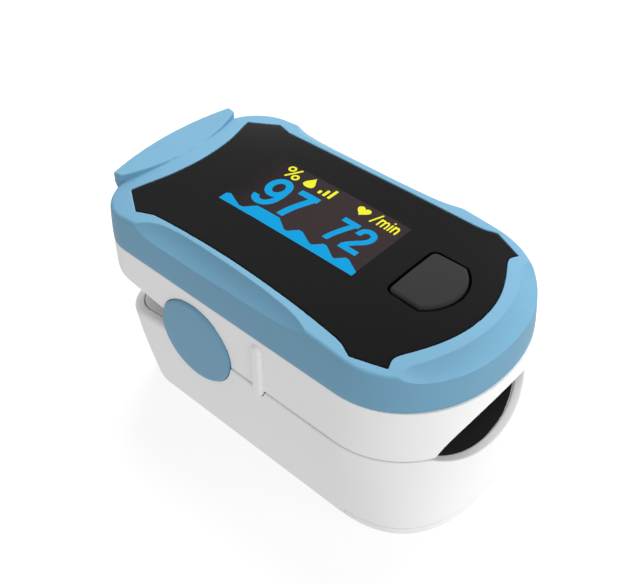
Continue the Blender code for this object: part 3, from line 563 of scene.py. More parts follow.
def upper_below(x, z, lift=0.0):
    """Distance to the space under the upper jaw, which rises behind the hinge."""
    rise = (z - (16.65 + lift + 0.1357 * (-8.2 - x))) * 0.99
    return np.minimum(z - (15.17 + lift), np.maximum(x + 8.1, rise))


def rim(x, drop=0.0):
    return 15.03 - drop - 0.155 * np.maximum(0.0, -8.0 - x)


def bed_mid(x):
    t = np.clip((x - 12.0) / 18.0, 0, 1)
    return 13.0 - 1.45 * t * t


def pad_top(x, y):
    return np.minimum(bed_mid(x) + y * y / (2 * BED_R), rim(x, 0.33))


def rib2d(x, z, grow=0.0):
    return capsule(x, z, 4.2, 14.98, 4.2, 22.75, 0.85 + grow)


# ------------------------------------------------------------------ top frame
SIDE_SHIFT = np.array(spline([(-22.0, 3.4), (-20.4, 2.0), (-18.8, 0.6), (-17.2, -0.1), (-15.0, -0.42), (-11.0, -0.4), (-5.0, -0.1), (0.0, 0.1), (5.0, 0.35), (9.0, 0.75), (12.0, 1.6), (14.0, 2.7), (15.4, 3.6), (18.0, 4.6)], 6))
NOSE_SHIFT = np.array(spline([(0.0, 0.0), (5.0, -0.2), (8.5, -0.3), (11.0, -0.12), (12.5, 0.35), (14.0, 1.4), (15.4, 2.9), (17.0, 4.9)], 8))


def f_frame(x, y, z):
    d = UP(x + 0.55 * smooth((-18.0 - x) / 7.0) * np.clip((z - FRAME_Z) / 5.5, 0, 1.2) + 0.3 * smooth((x - 18.0) / 10.0), y)
    lean = 0.42 * np.clip((z - 25.0) / 4.3, 0, 1.4) ** 1.3
    body = iround(d + 0.02 + lean, z - crown(x, y), 0.5)
    body = iround(body, FRAME_Z + 0.01 - z, 0.06)
    # shallow dished facets along both shoulders and round the front
    es = np.interp(x, SIDE_SHIFT[:, 0], SIDE_SHIFT[:, 1])
    ef = np.interp(np.abs(y), NOSE_SHIFT[:, 0], NOSE_SHIFT[:, 1]) + 3.6 * smooth((20.6 - x) / 7.0)
    side_dish = np.hypot(d - 2.78 - es, z - 35.31) - 6.83
    nose_dish = np.hypot(d - 1.31 - ef, z - 34.6) - 5.59
    body = dround(body, np.minimum(side_dish, nose_dish), 0.05)
    # thumb tab, leaning out to the rear
    reach = np.interp(z, [25.6, 28.8, 29.6, 31.2], [2.3, 0.4, 0.0, 0.0])
    tab = iround(TAB(x - reach, y) - 0.05, z - 31.3, 0.2)
    tab = np.maximum(tab, 25.6 - z)
    body = uround(body, tab, 0.06)
    # hollow
    hollow = np.maximum(d + 1.8, z - 27.8)
    for sx, sy, sz in SCREWS_UP:
        hollow = np.maximum(hollow, -np.maximum(np.hypot(x - sx, y - sy) - 2.0, sz + 3.1 - z))
    body = dround(body, hollow, 0.15)
    for sx, sy, sz in SCREWS_UP:
        body = np.maximum(body, -np.maximum(np.hypot(x - sx, y - sy) - 0.95, np.abs(z - 20.0) - 6.5))
    seat = np.maximum(WIN(x, y) - 0.07, 28.9 - z)
    body = dround(body, seat, 0.14)
    body = np.maximum(body, -np.maximum(rect(x, y, -18.5, 23.5, -9.8, 9.8, 1.0), 27.0 - z))
    return body


def f_window(x, y, z):
    top = crown(x, y) - 0.03
    g = iround(WIN(x, y) + 0.03, z - top, 0.12)
    g = np.maximum(g, 28.95 - z)
    return dround(g, BTN(x, y) - 0.3, 0.12)


def f_button(x, y, z):
    top = 31.55 - 0.006 * ((x - 18.4) ** 2 + (y - BTN_Y) ** 2)
    g = iround(BTN(x, y), z - top, 0.5)
    g = np.maximum(g, 28.65 - z)
    flange = np.maximum(BTN(x, y) - 0.75, np.abs(z - 28.3) - 0.3)
    return uround(g, flange, 0.15)


# ------------------------------------------------------------------ upper shell and what hangs in it
def f_upper_shell(x, y, z):
    d = UP(x, y) + 0.15 * np.clip((20.0 - z) / 4.0, 0, 1)
    g = iround(d, z - FRAME_Z + 0.01, 0.06)
    g = iround(g, 15.17 - z, 0.22)
    rise = (z - (16.65 + 0.1357 * (-8.2 - x))) * 0.99
    g = dround(g, np.maximum(x + 8.1, rise), 0.55)
    ay = np.abs(y)
    g = np.maximum(g, -(UP(x, y) + WALL))
    arch = np.maximum(np.hypot(y, z - ARCH_Z) - ARCH_R, 20.0 - x)
    g = dround(g, arch, 0.4)
    disc = np.hypot(x - AX, z - AZ)
    ear = np.maximum(disc - 6.4, slab(ay, 14.9, 16.1))
    g = np.minimum(g, ear)
    g = dround(g, np.maximum(disc - (DISC_R + 0.09), 16.15 - ay), 0.08)
    g = np.maximum(g, -np.maximum(disc - 1.2, np.abs(ay - 16.5) - 2.5))
    ribs = iround(rib2d(x, z), slab(ay, 16.2, 17.52), 0.5)
    return uround(g, ribs, 0.07)


def f_upper_inner(x, y, z):
    ay = np.abs(y)
    plate = np.maximum(slab(x, -30, 31), z - np.where(x > -7.1, 16.35, 17.9 + 0.132 * (-7.3 - x)))
    plate = np.maximum(plate, 12 - z)
    tube = np.maximum(np.hypot(y, z - ARCH_Z) - ARCH_R - 1.0, slab(x, -15.3, 30.5))
    g = uround(plate, tube, 0.5)
    for sx, sy, sz in SCREWS_UP:
        g = np.minimum(g, np.maximum(np.hypot(x - sx, y - sy) - 2.3, slab(z, sz - 2.0, sz + 2.8)))
    g = iround(g, UP(x, y) + WALL + 0.05, 0.2)
    g = dround(g, upper_below(x, z, 0.2), 0.15)
    g = dround(g, np.maximum(np.hypot(y, z - ARCH_Z) - ARCH_R - 0.1, -14.5 - x), 0.2)
    g = np.maximum(g, -np.maximum(rect(x, z, -15.4, -0.7, 10, 21.5), 11.1 - ay))
    for sx, sy, sz in SCREWS_UP:
        r = np.hypot(x - sx, y - sy)
        g = dround(g, np.maximum(r - 1.85, z - sz - 1.4), 0.12)
        g = np.maximum(g, -(r - 0.95))
    g = np.maximum(g, -np.maximum(rect(x, y, -2.8, 2.8, -2.3, 2.3, 0.4), 18 - z))
    return np.maximum(g, -rect(x, y, -17.6, -16.6, -3.6, 3.6, 0.3))


def f_upper_pad(x, y, z):
    r = np.hypot(y, z - ARCH_Z)
    g = iround(r - ARCH_R, slab(x, -14.2, 31), 0.3)
    g = iround(g, UP(x, y) + WALL + 0.15, 0.35)
    hollow = np.interp(x, [-13.0, -9.0, 0.0, 20.0, 30.0, 36.0], [8.2, 9.2, 9.4, 9.5, 10.1, 10.2])
    g = dround(g, np.maximum(r - hollow, -13.0 - x), 0.3)
    g = iround(g, 15.42 - z, 0.3)
    g = dround(g, upper_below(x, z, 0.25), 0.25)
    # soft cross ridges that grip the finger
    ridge = 0.09 * np.cos(2 * math.pi * x / 3.2) * smooth((x + 12.0) / 3.0) * smooth((24.0 - x) / 3.0) * smooth((np.abs(x) - 3.4) / 1.6)
    g = g - np.maximum(ridge, 0) * smooth((hollow + 0.6 - r) / 0.5)
    return dround(g, np.maximum(rect(x, y, -2.8, 2.8, -2.3, 2.3, 0.7), 18 - z), 0.3)


# ------------------------------------------------------------------ lower jaw
def f_lower_shell(x, y, z):
    d = low(x, y, z)
    ay = np.abs(y)
    r = 0.22 + 0.55 * smooth((-10.0 - x) / 4.0)
    g = iround(d, z - rim(x), r)
    g = iround(g, -z, 0.55)
    cave = iround(d + WALL_LOW, 1.7 - z, 0.6)
    g = dround(g, cave, 0.15)
    bed = np.maximum(np.hypot(y, z - BED_Z - BED_R) - BED_R, 20.0 - x)
    g = dround(g, bed, 0.3)
    disc = np.hypot(x - AX, z - AZ)
    g = np.maximum(g, -np.maximum(disc - 6.75, slab(ay, 14.6, 16.3)))
    g = dround(g, np.maximum(disc - (DISC_R + 0.09), 16.15 - ay), 0.08)
    g = dround(g, np.maximum(capsule(x, z, 4.2, 14.98, 4.2, 22.0, 1.0), 15.9 - ay), 0.12)
    # battery opening, cover tracks, front foot
    g = dround(g, np.maximum(np.maximum(BAY(x, y), x - 19.4), z - 2.1), 0.2)
    g = np.maximum(g, -np.maximum(rect(x, y, -16.6, 19.5, -15.0, 15.0), slab(z, 0.4, 1.3)))
    g = dround(g, np.maximum(19.45 - x, z - 1.53), 0.07)
    # lugs, bulkhead, rib and screw posts inside
    lug = np.maximum(capsule(x, z, AX, AZ, AX, 8.0, 3.2), slab(ay, 13.45, 14.6))
    g = np.minimum(g, lug)
    g = np.minimum(g, np.maximum(rect(x, z, AX - 3.2, AX + 3.2, 5.0, 8.8), slab(ay, 14.0, 16.2)))
    g = np.maximum(g, -np.maximum(disc - 1.08, slab(ay, 13, 15)))
    g = np.minimum(g, brick(x, y, z, 26.4, 27.3, -12.2, 12.2, 1.75, 10.0))
    wall = brick(x, y, z, -20.3, 27.0, -0.8, 0.8, 3.4, 8.0)
    for sx, sy in SCREWS_LOW:
        wall = uround(wall, np.maximum(np.hypot(x - sx, y - sy) - 2.3, slab(z, 3.0, 8.2)), 0.3)
    g = np.minimum(g, wall)
    for sx, sy in SCREWS_LOW:
        rr = np.hypot(x - sx, y - sy)
        g = dround(g, np.maximum(rr - 1.8, slab(z, 1.0, 4.6)), 0.1)
        g = np.maximum(g, -np.maximum(rr - 0.95, slab(z, 1.0, 12.0)))
    return g


def f_lower_inner(x, y, z):
    ay = np.abs(y)
    seat = np.where(x > PAD_X0 - 0.4, 1.0, 0.35)
    lip = smooth((ay - 9.95 - 0.95 * smooth((x - 8.0) / 8.0)) / 0.35)
    top = (pad_top(x, y) - seat) * (1 - lip) + 14.86 * lip
    top = np.minimum(top, rim(x, 0.14 + 0.3 * smooth((x + 20.0) / 5.0) * (1 - lip)))
    low_side = top - 0.75
    g = iround(z - top, LOW_A(x, y) + WALL_LOW + 0.07 + 0.12 * smooth((-11.0 - x) / 3.0), 0.12)
    g = iround(g, low_side - z, 0.1)
    g = np.maximum(g, slab(x, -24.2, 28.6))
    for sx, sy in SCREWS_LOW:
        g = np.minimum(g, np.maximum(np.hypot(x - sx, y - sy) - 2.1, slab(z, 8.5, 11.6)))
        g = np.maximum(g, -np.maximum(np.hypot(x - sx, y - sy) - 0.95, slab(z, 7.0, 11.0)))
    g = np.maximum(g, -np.maximum(rect(x, z, -15.4, -0.7, 8, 18), 10.6 - ay))
    g = np.maximum(g, -rect(x, y, -2.1, 2.1, -2.1, 2.1, 0.3))
    return np.maximum(g, -rect(x, y, -17.6, -16.6, -3.6, 3.6, 0.3))


def f_lower_pad(x, y, z):
    ay = np.abs(y)
    top = pad_top(x, y)
    ridge = 0.10 * np.maximum(np.cos(2 * math.pi * x / 3.2), 0) * smooth((x + 12.0) / 3.0) * smooth((22.0 - x) / 3.0) * smooth((np.abs(x) - 3.2) / 1.6) * smooth((9.0 - ay) / 2.0)
    side = np.maximum(ay - 9.85 - 0.95 * smooth((x - 8.0) / 8.0), LOW_A(x, y) + WALL_LOW + 0.1)
    g = iround(z - top - ridge, iround(side, slab(x, PAD_X0, 29.95), 0.5), 0.25)
    g = iround(g, top - 0.8 - z, 0.15)
    return dround(g, rect(x, y, -2.1, 2.1, -2.1, 2.1, 0.5), 0.25)


def f_cover(x, y, z):
    g = iround(np.maximum(BAY(x, y) + 0.12, x - 20.5), slab(z, 0.0, 1.05), 0.16)
    g = np.minimum(g, brick(x, y, z, -16.2, 20.3, -14.7, 14.7, 0.55, 1.05, 0.1))
    d = low(x, y, z)
    nose = iround(d, -z, 0.55)
    nose = iround(nose, np.maximum(z - 1.47, 19.52 - x), 0.05)
    g = np.minimum(g, nose)
    for k in range(5):
        gx = 21.4 + 1.5 * k
        hw = 6.5 - 0.7 * k
        g = dround(g, capsule(np.hypot(x - gx, z + 0.12), y * 0, 0, 0, 0.001, 0, 0.42) + 0 * y + np.maximum(0, np.abs(y) - hw), 0.1)
    # raised-edge arrow that shows which way the cover slides
    tri = np.maximum(np.maximum(11.2 - x, (x - 11.2) * 0.5 + np.abs(y) * 0.87 - 2.6), -z - 1)
    shaft = rect(x, y, 3.0, 11.4, -0.9, 0.9, 0.2)
    arrow = np.minimum(np.maximum(tri, z - 0.28), np.maximum(shaft, z - 0.28))
    g = dround(g, arrow, 0.08)
    g = np.maximum(g, -brick(x, y, z, 15.0, 25.3, -13.0, 13.0, 1.05, 5.0))
    return g


CELL = 0.25
PIECES = {}
PIECES["top_frame"] = sculpt("top_frame_moulding", f_frame, (-31.4, -17.3, 24.4), (31.9, 17.3, 31.7), CELL, 0.42, BLUE, "upper_jaw", "top_frame")
PIECES["window"] = sculpt("display_window_lens", f_window, (-26, -15.7, 28.7), (27.0, 15.7, 31.6), CELL, 0.35, WINDOW, "upper_jaw", "display_window")
PIECES["button"] = sculpt("power_button_cap", f_button, (13.6, -5.2, 27.8), (23.6, 7.2, 31.8), 0.14, 0.4, BUTTON, "button", "power_button")
PIECES["upper_shell"] = sculpt("upper_shell_moulding", f_upper_shell, (-28.5, -17.7, 9.3), (31.9, 17.7, 24.9), CELL, 0.4, WHITE, "upper_jaw", "upper_shell")
PIECES["upper_inner"] = sculpt("upper_inner_moulding", f_upper_inner, (-27, -15.8, 14.9), (30.6, 15.8, 23.2), CELL * 1.3, 0.35, WHITE_IN, "upper_jaw", "upper_inner_cover")
PIECES["upper_pad"] = sculpt("upper_finger_pad_soft", f_upper_pad, (-14.6, -11, 15.1), (30.5, 11, 22.4), CELL, 0.35, RUBBER, "upper_jaw", "upper_finger_pad")
PIECES["lower_shell"] = sculpt("lower_shell_moulding", f_lower_shell, (-26.6, -17.3, -0.2), (31.9, 17.3, 19.5), CELL, 0.36, WHITE, "lower_jaw", "lower_shell")
PIECES["lower_inner"] = sculpt("lower_inner_moulding", f_lower_inner, (-24.6, -15.8, 8.2), (29, 15.8, 15.2), CELL * 1.2, 0.35, WHITE_IN, "lower_jaw", "lower_inner_cover")
PIECES["lower_pad"] = sculpt("lower_finger_pad_soft", f_lower_pad, (-14.5, -11.3, 10.2), (30.4, 11.3, 15.3), CELL, 0.35, RUBBER, "lower_jaw", "lower_finger_pad")
PIECES["cover"] = sculpt("battery_cover_moulding", f_cover, (-21.4, -16.6, -0.2), (31.9, 16.6, 2.3), CELL, 0.4, WHITE, "battery_door", "battery_cover")


# ------------------------------------------------------------------ turned and drawn pieces
def turned(name, profile, origin, axis, mat, body, node=None, n=96, smooth_angle=35):
    """Solid of revolution; profile is (radius, height) rising along axis. A closed skin with centre points at both ends."""
    verts, faces = [], []
    ring = []
    for r, h in profile:
        if r < 1e-6:
            ring.append([len(verts)] * n)
            verts.append((0, 0, h))
        else:
            ring.append(list(range(len(verts), len(verts) + n)))
            verts += [(r * math.cos(2 * math.pi * i / n), r * math.sin(2 * math.pi * i / n), h) for i in range(n)]
    for a, b in zip(ring, ring[1:]):
        for i in range(n):
            q = [a[i], a[(i + 1) % n], b[(i + 1) % n], b[i]]
            q = [v for k, v in enumerate(q) if v not in q[:k]]
            if len(q) >= 3:
                faces.append(q)
    rot = {"x": Matrix(((0, 0, 1), (0, 1, 0), (-1, 0, 0))), "-x": Matrix(((0, 0, -1), (0, 1, 0), (1, 0, 0))), "y": Matrix(((1, 0, 0), (0, 0, 1), (0, -1, 0))), "-y": Matrix(((1, 0, 0), (0, 0, -1), (0, 1, 0))), "z": Matrix.Identity(3)}[axis]
    o = Vector(origin)
    me = bpy.data.meshes.new(name)
    me.from_pydata([tuple((rot @ Vector(v) + o) * MM) for v in verts], [], faces)
    me.validate()
    me.shade_smooth()
    me.set_sharp_from_angle(angle=math.radians(smooth_angle))
    ob = link(name, me, mat)
    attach(ob, body)
    if node:
        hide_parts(node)
    return ob


def arc_profile(r0, h0, r1, h1, n=6):
    """Quarter round from (r0,h0) to (r1,h1): leaves along the height, arrives along the radius."""
    return [(r1 + (r0 - r1) * math.cos(math.pi / 2 * k / n), h0 + (h1 - h0) * math.sin(math.pi / 2 * k / n)) for k in range(n + 1)]


def sweep(name, path, radius, mat, n=14):
    """Round wire along a path, its ends closed with domes."""
    p = [Vector(q) for q in path]
    verts, faces, side = [], [], None
    rings = []
    for i, q in enumerate(p):
        t = (p[min(i + 1, len(p) - 1)] - p[max(i - 1, 0)]).normalized()
        side = t.orthogonal().normalized() if side is None else (side - t * side.dot(t)).normalized()
        up = t.cross(side)
        rings.append((q, t, side.copy(), up))

    def ring(q, s, u, r):
        k = len(verts)
        verts.extend(tuple((q + (s * math.cos(2 * math.pi * j / n) + u * math.sin(2 * math.pi * j / n)) * r) * MM) for j in range(n))
        return list(range(k, k + n))

    seq = []
    q, t, s, u = rings[0]
    for a in (70, 40):
        seq.append(ring(q - t * radius * math.sin(math.radians(a)), s, u, radius * math.cos(math.radians(a))))
    for q, t, s, u in rings:
        seq.append(ring(q, s, u, radius))
    for a in (40, 70):
        seq.append(ring(q + t * radius * math.sin(math.radians(a)), s, u, radius * math.cos(math.radians(a))))
    for a, b in zip(seq, seq[1:]):
        faces += [(a[j], a[(j + 1) % n], b[(j + 1) % n], b[j]) for j in range(n)]
    faces.append(tuple(reversed(seq[0])))
    faces.append(tuple(seq[-1]))
    me = bpy.data.meshes.new(name)
    me.from_pydata(verts, [], faces)
    me.validate()
    me.shade_smooth()
    return link(name, me, mat)


# round covers over the hinge ends
disc_profile = [(0.0, 16.42), (6.45, 16.42)] + [(6.7 - 0.15 * math.cos(math.radians(a)) * 0 - 0.12 * (1 - math.sin(math.radians(a))), 16.42 + 0.12 * (1 - math.cos(math.radians(a)))) for a in (30, 60, 90)]
disc_profile += arc_profile(6.7, 16.98, 6.28, 17.40, 8) + [(5.6, 17.425), (4.4, 17.445), (3.0, 17.457), (1.5, 17.462), (0.0, 17.464)]
for side, nm in (("y", "left"), ("-y", "right")):
    turned(f"side_disc_cap_{nm}", disc_profile, (AX, 0, AZ), side, BLUE, "lower_jaw", f"side_disc_{nm}", n=160)

# cells: sleeve with a plain band, crimped rims and end faces
for nm, y, s in (("left", CELL_Y, "x"), ("right", -CELL_Y, "-x")):
    L = CELL_X1 - CELL_X0
    start = CELL_X0 if s == "x" else -CELL_X1
    prof = [(0.0, 0.0), (4.1, 0.0), (4.25, 0.12), (4.55, 0.12), (4.7, 0.02), (4.95, 0.02)] + [(5.25 - 0.3 * (1 - math.sin(math.radians(a))), 0.02 + 0.33 * (1 - math.cos(math.radians(a)))) for a in (30, 60, 90)]
    prof += [(5.25, 9.6), (5.22, 9.62), (5.22, 9.7), (5.25, 9.72), (5.25, L - 0.35)] + [(4.95 + 0.3 * math.cos(math.radians(a)), L - 0.35 + 0.33 * math.sin(math.radians(a))) for a in (30, 60, 90)]
    prof += [(4.6, L - 0.02), (4.4, L - 0.14), (2.3, L - 0.14), (2.05, L - 0.02), (1.9, L + 0.1), (1.9, L + 0.72), (1.72, L + 0.88), (0.0, L + 0.9)]
    cell = turned(f"battery_cell_{nm}_sleeve", prof, (start, 0, 0) if s == "x" else (-start, 0, 0), s, WRAP, "lower_jaw", f"battery_cell_{nm}", n=72, smooth_angle=30)
    for v in cell.data.vertices:
        v.co.y += y * MM
        v.co.z += CELL_Z * MM
    cell.data.materials.append(WRAP_BAND)
    cell.data.materials.append(NICKEL)
    for pg in cell.data.polygons:
        along = (pg.center.x / MM - start) if s == "x" else (-start - pg.center.x / MM)
        rad = math.hypot(pg.center.y / MM - y, pg.center.z / MM - CELL_Z)
        pg.material_index = 2 if (rad < 4.35 or along > L) else (1 if along < 9.66 else 0)


# torsion springs: each turn carries a share of the opening angle
def torsion(nm, s):
    path = [(-14.9, 11.6, 13.6), (-13.4, 11.6, 13.6), (-11.4, 11.6, 13.65)]
    a0, a1, steps = math.radians(262), math.radians(262 - 3 * 360 + 196), 120
    for i in range(steps + 1):
        a = a0 + (a1 - a0) * i / steps
        path.append((AX + 2.3 * math.cos(a), 11.6 + 1.45 * i / steps, AZ + 2.3 * math.sin(a)))
    path += [(-11.6, 13.05, 17.85), (-13.2, 13.05, 17.5), (-14.9, 13.05, 17.2)]
    ob = sweep(f"torsion_spring_{nm}_wire", [(x, y * s, z) for x, y, z in path], 0.3, STEEL, 12)
    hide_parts(f"torsion_spring_{nm}")
    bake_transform(ob)


torsion("left", 1)
torsion("right", -1)

# contact springs
for nm, xn, xf, y in (("rear", -19.75, -20.75, CELL_Y), ("front", 24.45, 25.45, -CELL_Y)):
    path = []
    for i in range(121):
        t = i / 120
        a = 2 * math.pi * 2.4 * t
        path.append((xn + (xf - xn) * t, y + (1.5 + 1.3 * t) * math.cos(a), CELL_Z + (1.5 + 1.3 * t) * math.sin(a)))
    ob = sweep(f"{nm}_contact_spring_wire", path, 0.2, STEEL, 10)
    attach(ob, "lower_jaw")
    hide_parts(f"{nm}_contact_spring")

# flexible cable: a thin ribbon with rounded bends
path = [(-5.0, 10.92)] + [(-8.0, 10.92), (-12.0, 10.92)] + [(-15.9 - 1.2 * math.sin(math.radians(a)), 12.12 - 1.2 * math.cos(math.radians(a))) for a in range(0, 91, 15)] + [(-17.1, z) for z in np.linspace(13.0, 24.4, 18)]
hw, th = 2.6, 0.09
verts, faces = [], []
for i, (x, z) in enumerate(path):
    x0, z0 = path[max(i - 1, 0)]
    x1, z1 = path[min(i + 1, len(path) - 1)]
    ln = math.hypot(x1 - x0, z1 - z0)
    nx, nz = -(z1 - z0) / ln, (x1 - x0) / ln
    for yy, s in ((-hw, 0.7), (-hw + 0.15, 1), (0, 1), (hw - 0.15, 1), (hw, 0.7), (hw, -0.7), (hw - 0.15, -1), (0, -1), (-hw + 0.15, -1), (-hw, -0.7)):
        verts.append(((x + nx * th * s) * MM, yy * MM, (z + nz * th * s) * MM))
m = 10
for i in range(len(path) - 1):
    for j in range(m):
        faces.append((i * m + j, i * m + (j + 1) % m, (i + 1) * m + (j + 1) % m, (i + 1) * m + j))
faces.append(tuple(reversed(range(m))))
faces.append(tuple(range((len(path) - 1) * m, len(path) * m)))
me = bpy.data.meshes.new("flex_cable_ribbon")
me.from_pydata(verts, [], faces)
me.validate()
bm = bmesh.new()
bm.from_mesh(me)
bmesh.ops.recalc_face_normals(bm, faces=bm.faces)
bm.to_mesh(me)
bm.free()
me.shade_smooth()
me.set_sharp_from_angle(angle=math.radians(40))
ribbon = link("flex_cable_ribbon", me, FLEX)
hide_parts("flex_cable")
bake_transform(ribbon)

# ------------------------------------------------------------------ what the display shows
def strokes(paths, r):
    def f(x, y):
        g = None
        for path in paths:
            for (x0, y0), (x1, y1) in zip(path, path[1:]):
                d = capsule(x, y, x0, y0, x1, y1, r)
                g = d if g is None else np.minimum(g, d)
        return g
    return f


def inlay(name, f2, x0, x1, y0, y1, proud, mat, cell=0.11, ratio=0.4):
    def f(x, y, z):
        top = crown(x, y) - 0.03 + proud
        return iround(f2(x - 0.17, y + 0.24), np.abs(z - top + 0.16) - 0.16, 0.015)
    zs = [float(crown(u, v)) for u in (x0, x1, 0.0 if x0 < 0 < x1 else x0) for v in (y0, y1, 0.0 if y0 < 0 < y1 else y0)]
    ob = sculpt(name, f, (x0 - 0.4, y0 - 0.7, min(zs) - 0.5), (x1 + 0.7, y1 + 0.4, max(zs) + 0.2), cell, ratio, mat, "upper_jaw", None)
    return ob


ring9 = [(-9.75 + 1.38 * math.cos(a), 2.12 + 1.66 * math.sin(a)) for a in np.linspace(0, 2 * math.pi, 28)]
tail9 = spline([(-8.37, 2.3), (-8.22, 0.9), (-8.42, -0.6), (-9.1, -1.6), (-10.05, -1.88), (-10.9, -1.5), (-11.15, -1.0)], 5)
big7 = strokes([spline([(-4.05, 3.75), (-4.85, 1.6), (-5.4, -0.2), (-5.7, -2.1), (-5.72, -2.4)], 6)], 0.56)
small7 = strokes([spline([(3.7, 3.3), (2.95, 1.4), (2.42, -0.2), (2.18, -1.32), (2.12, -1.9)], 6)], 0.47)
two = strokes([spline([(4.98, 1.95), (5.2, 2.9), (6.05, 3.34), (6.92, 2.95), (7.12, 2.1), (6.75, 1.2), (5.9, 0.3), (5.1, -0.65), (4.9, -1.25)], 6)], 0.46)


def f_nine(x, y):
    cut = np.maximum(np.maximum(x + 10.3, -0.82 - y), y + 0.25)
    return np.maximum(strokes([ring9, tail9], 0.55)(x, y), -cut)


def f_big_seven(x, y):
    g = np.minimum(rect(x, y, -6.95, -3.5, 2.95, 4.07, 0.06), big7(x, y))
    return np.maximum(g, np.maximum(y - 4.07, -2.15 - y))


def f_small_seven(x, y):
    g = np.minimum(rect(x, y, 1.35, 4.25, 2.66, 3.58, 0.06), small7(x, y))
    return np.maximum(g, np.maximum(y - 3.58, -1.68 - y))


def f_two(x, y):
    cut = np.maximum(np.maximum(x - 5.6, y - 1.82), 1.2 - y)
    g = np.maximum(np.maximum(two(x, y), -cut), -1.74 - y)
    return np.minimum(g, rect(x, y, 4.43, 7.5, -1.74, -0.82, 0.06))


inlay("display_lit_area", lambda x, y: rect(x, y, -14.6, 9.7, -4.95, 7.7, 0.25), -14.7, 9.8, -5.0, 7.8, 0.004, LIT, 0.2, 0.3)
inlay("reading_nine", f_nine, -11.9, -7.5, -2.6, 4.5, 0.02, CYAN)
inlay("reading_seven_large", f_big_seven, -7.7, -3.5, -2.5, 4.2, 0.02, CYAN)
inlay("reading_seven_small", f_small_seven, 1.0, 4.5, -1.9, 3.7, 0.02, CYAN)
inlay("reading_two", f_two, 4.3, 7.7, -1.9, 3.9, 0.02, CYAN)
wave = [(-14.5, -5.0), (9.65, -4.85), (9.65, -3.95), (7.4, -2.75), (6.8, -2.75), (5.9, -3.8), (5.4, -3.8), (3.5, -2.65), (2.9, -2.65), (1.9, -3.8), (1.4, -3.8), (-0.8, -2.7), (-1.4, -2.7), (-2.5, -4.0), (-3.0, -4.0), (-5.1, -2.65), (-9.2, -2.7), (-10.5, -4.25), (-11.2, -4.35), (-13.9, -3.2), (-14.5, -3.6)]
WAVE = Outline(wave, 0.08, 1.0)
inlay("pulse_wave_band", lambda x, y: WAVE(x, y), -14.6, 9.8, -5.2, -2.5, 0.02, CYAN)
# plain unit marks: a percent sign with a drop, and a heart with a per-minute mark
ringp = lambda cx, cy, r: [(cx + r * math.cos(a), cy + r * math.sin(a)) for a in np.linspace(0, 2 * math.pi, 16)]
inlay("unit_percent", strokes([ringp(-11.45, 6.75, 0.48), ringp(-9.75, 5.45, 0.48), [(-11.2, 4.95), (-10.0, 7.25)]], 0.18), -12.3, -8.9, 4.7, 7.6, 0.02, YELLOW, 0.09, 0.5)
DROP = Outline([(-7.2 + 0.88 * math.cos(a) * (1 - math.sin(a)) * 0.78, 7.25 + 1.15 * (math.sin(a) - 1) * 1.0) for a in np.linspace(0, 2 * math.pi, 60)[:-1]], 0.06, 1.0)
inlay("unit_drop", lambda x, y: DROP(x, y) - 0.05, -8.5, -5.9, 4.7, 7.5, 0.02, YELLOW, 0.09, 0.5)
inlay("unit_signal_bars", lambda x, y: np.minimum(np.minimum(rect(x, y, -5.2, -4.7, 4.95, 5.7, 0.1), rect(x, y, -4.3, -3.8, 4.95, 6.4, 0.1)), rect(x, y, -3.4, -2.9, 4.95, 7.1, 0.1)), -5.4, -2.7, 4.7, 7.3, 0.02, YELLOW, 0.09, 0.5)
HEART = Outline([(2.35 + 0.068 * 16 * math.sin(t) ** 3, 6.15 + 0.068 * (13 * math.cos(t) - 5 * math.cos(2 * t) - 2 * math.cos(3 * t) - math.cos(4 * t))) for t in np.linspace(2 * math.pi, 0, 80)[:-1]], 0.06, 1.0)
inlay("unit_heart", lambda x, y: HEART(x, y), 1.1, 3.6, 4.8, 7.3, 0.02, YELLOW, 0.09, 0.5)
per_min = [[(4.35, 5.1), (5.05, 7.2)], [(5.5, 5.2), (5.5, 6.5)], spline([(5.5, 6.15), (5.85, 6.5), (6.15, 6.15), (6.15, 5.2)], 5), spline([(6.15, 6.15), (6.5, 6.5), (6.8, 6.15), (6.8, 5.2)], 5), [(7.3, 5.2), (7.3, 6.45)], [(7.3, 7.0), (7.3, 7.02)], [(7.8, 5.2), (7.8, 6.5)], spline([(7.8, 6.15), (8.2, 6.5), (8.5, 6.15), (8.5, 5.2)], 5)]
inlay("unit_per_minute", strokes(per_min, 0.15), 4.1, 8.8, 4.8, 7.4, 0.02, YELLOW, 0.09, 0.5)

# ------------------------------------------------------------------ carried-over frame nodes
NODE_MATERIAL = {
    "display_module": GLASS_BLACK, "main_board": BOARD, "controller_chip": CHIP, "light_emitter": LENS, "button_switch": CHIP,
    "upper_screw_1": BLACK_STEEL, "upper_screw_2": BLACK_STEEL, "upper_screw_3": BLACK_STEEL, "upper_screw_4": BLACK_STEEL,
    "lower_screw_1": BLACK_STEEL, "lower_screw_2": BLACK_STEEL, "switch_plunger": PLUNGER, "sensor_board": BOARD, "photodiode": SENSOR,
    "hinge_pin_left": STEEL, "hinge_pin_right": STEEL, "rear_contact_bridge": NICKEL, "front_contact_positive": NICKEL, "front_contact_negative": NICKEL,
}
for node, mat in NODE_MATERIAL.items():
    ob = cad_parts[node]
    ob.data.materials.clear()
    ob.data.materials.append(mat)

# ------------------------------------------------------------------ floor, light, camera
floor_me = bpy.data.meshes.new("floor")
floor_me.from_pydata([(-3, -3, -0.0002), (3, -3, -0.0002), (3, 3, -0.0002), (-3, 3, -0.0002)], [], [(0, 1, 2, 3)])
FLOOR = shader("floor_white", (0.93, 0.93, 0.93), 0.9, grain=30, bump=0.0, mottle=0.004, rough_var=0.02, spec=0.1)
nt = FLOOR.node_tree
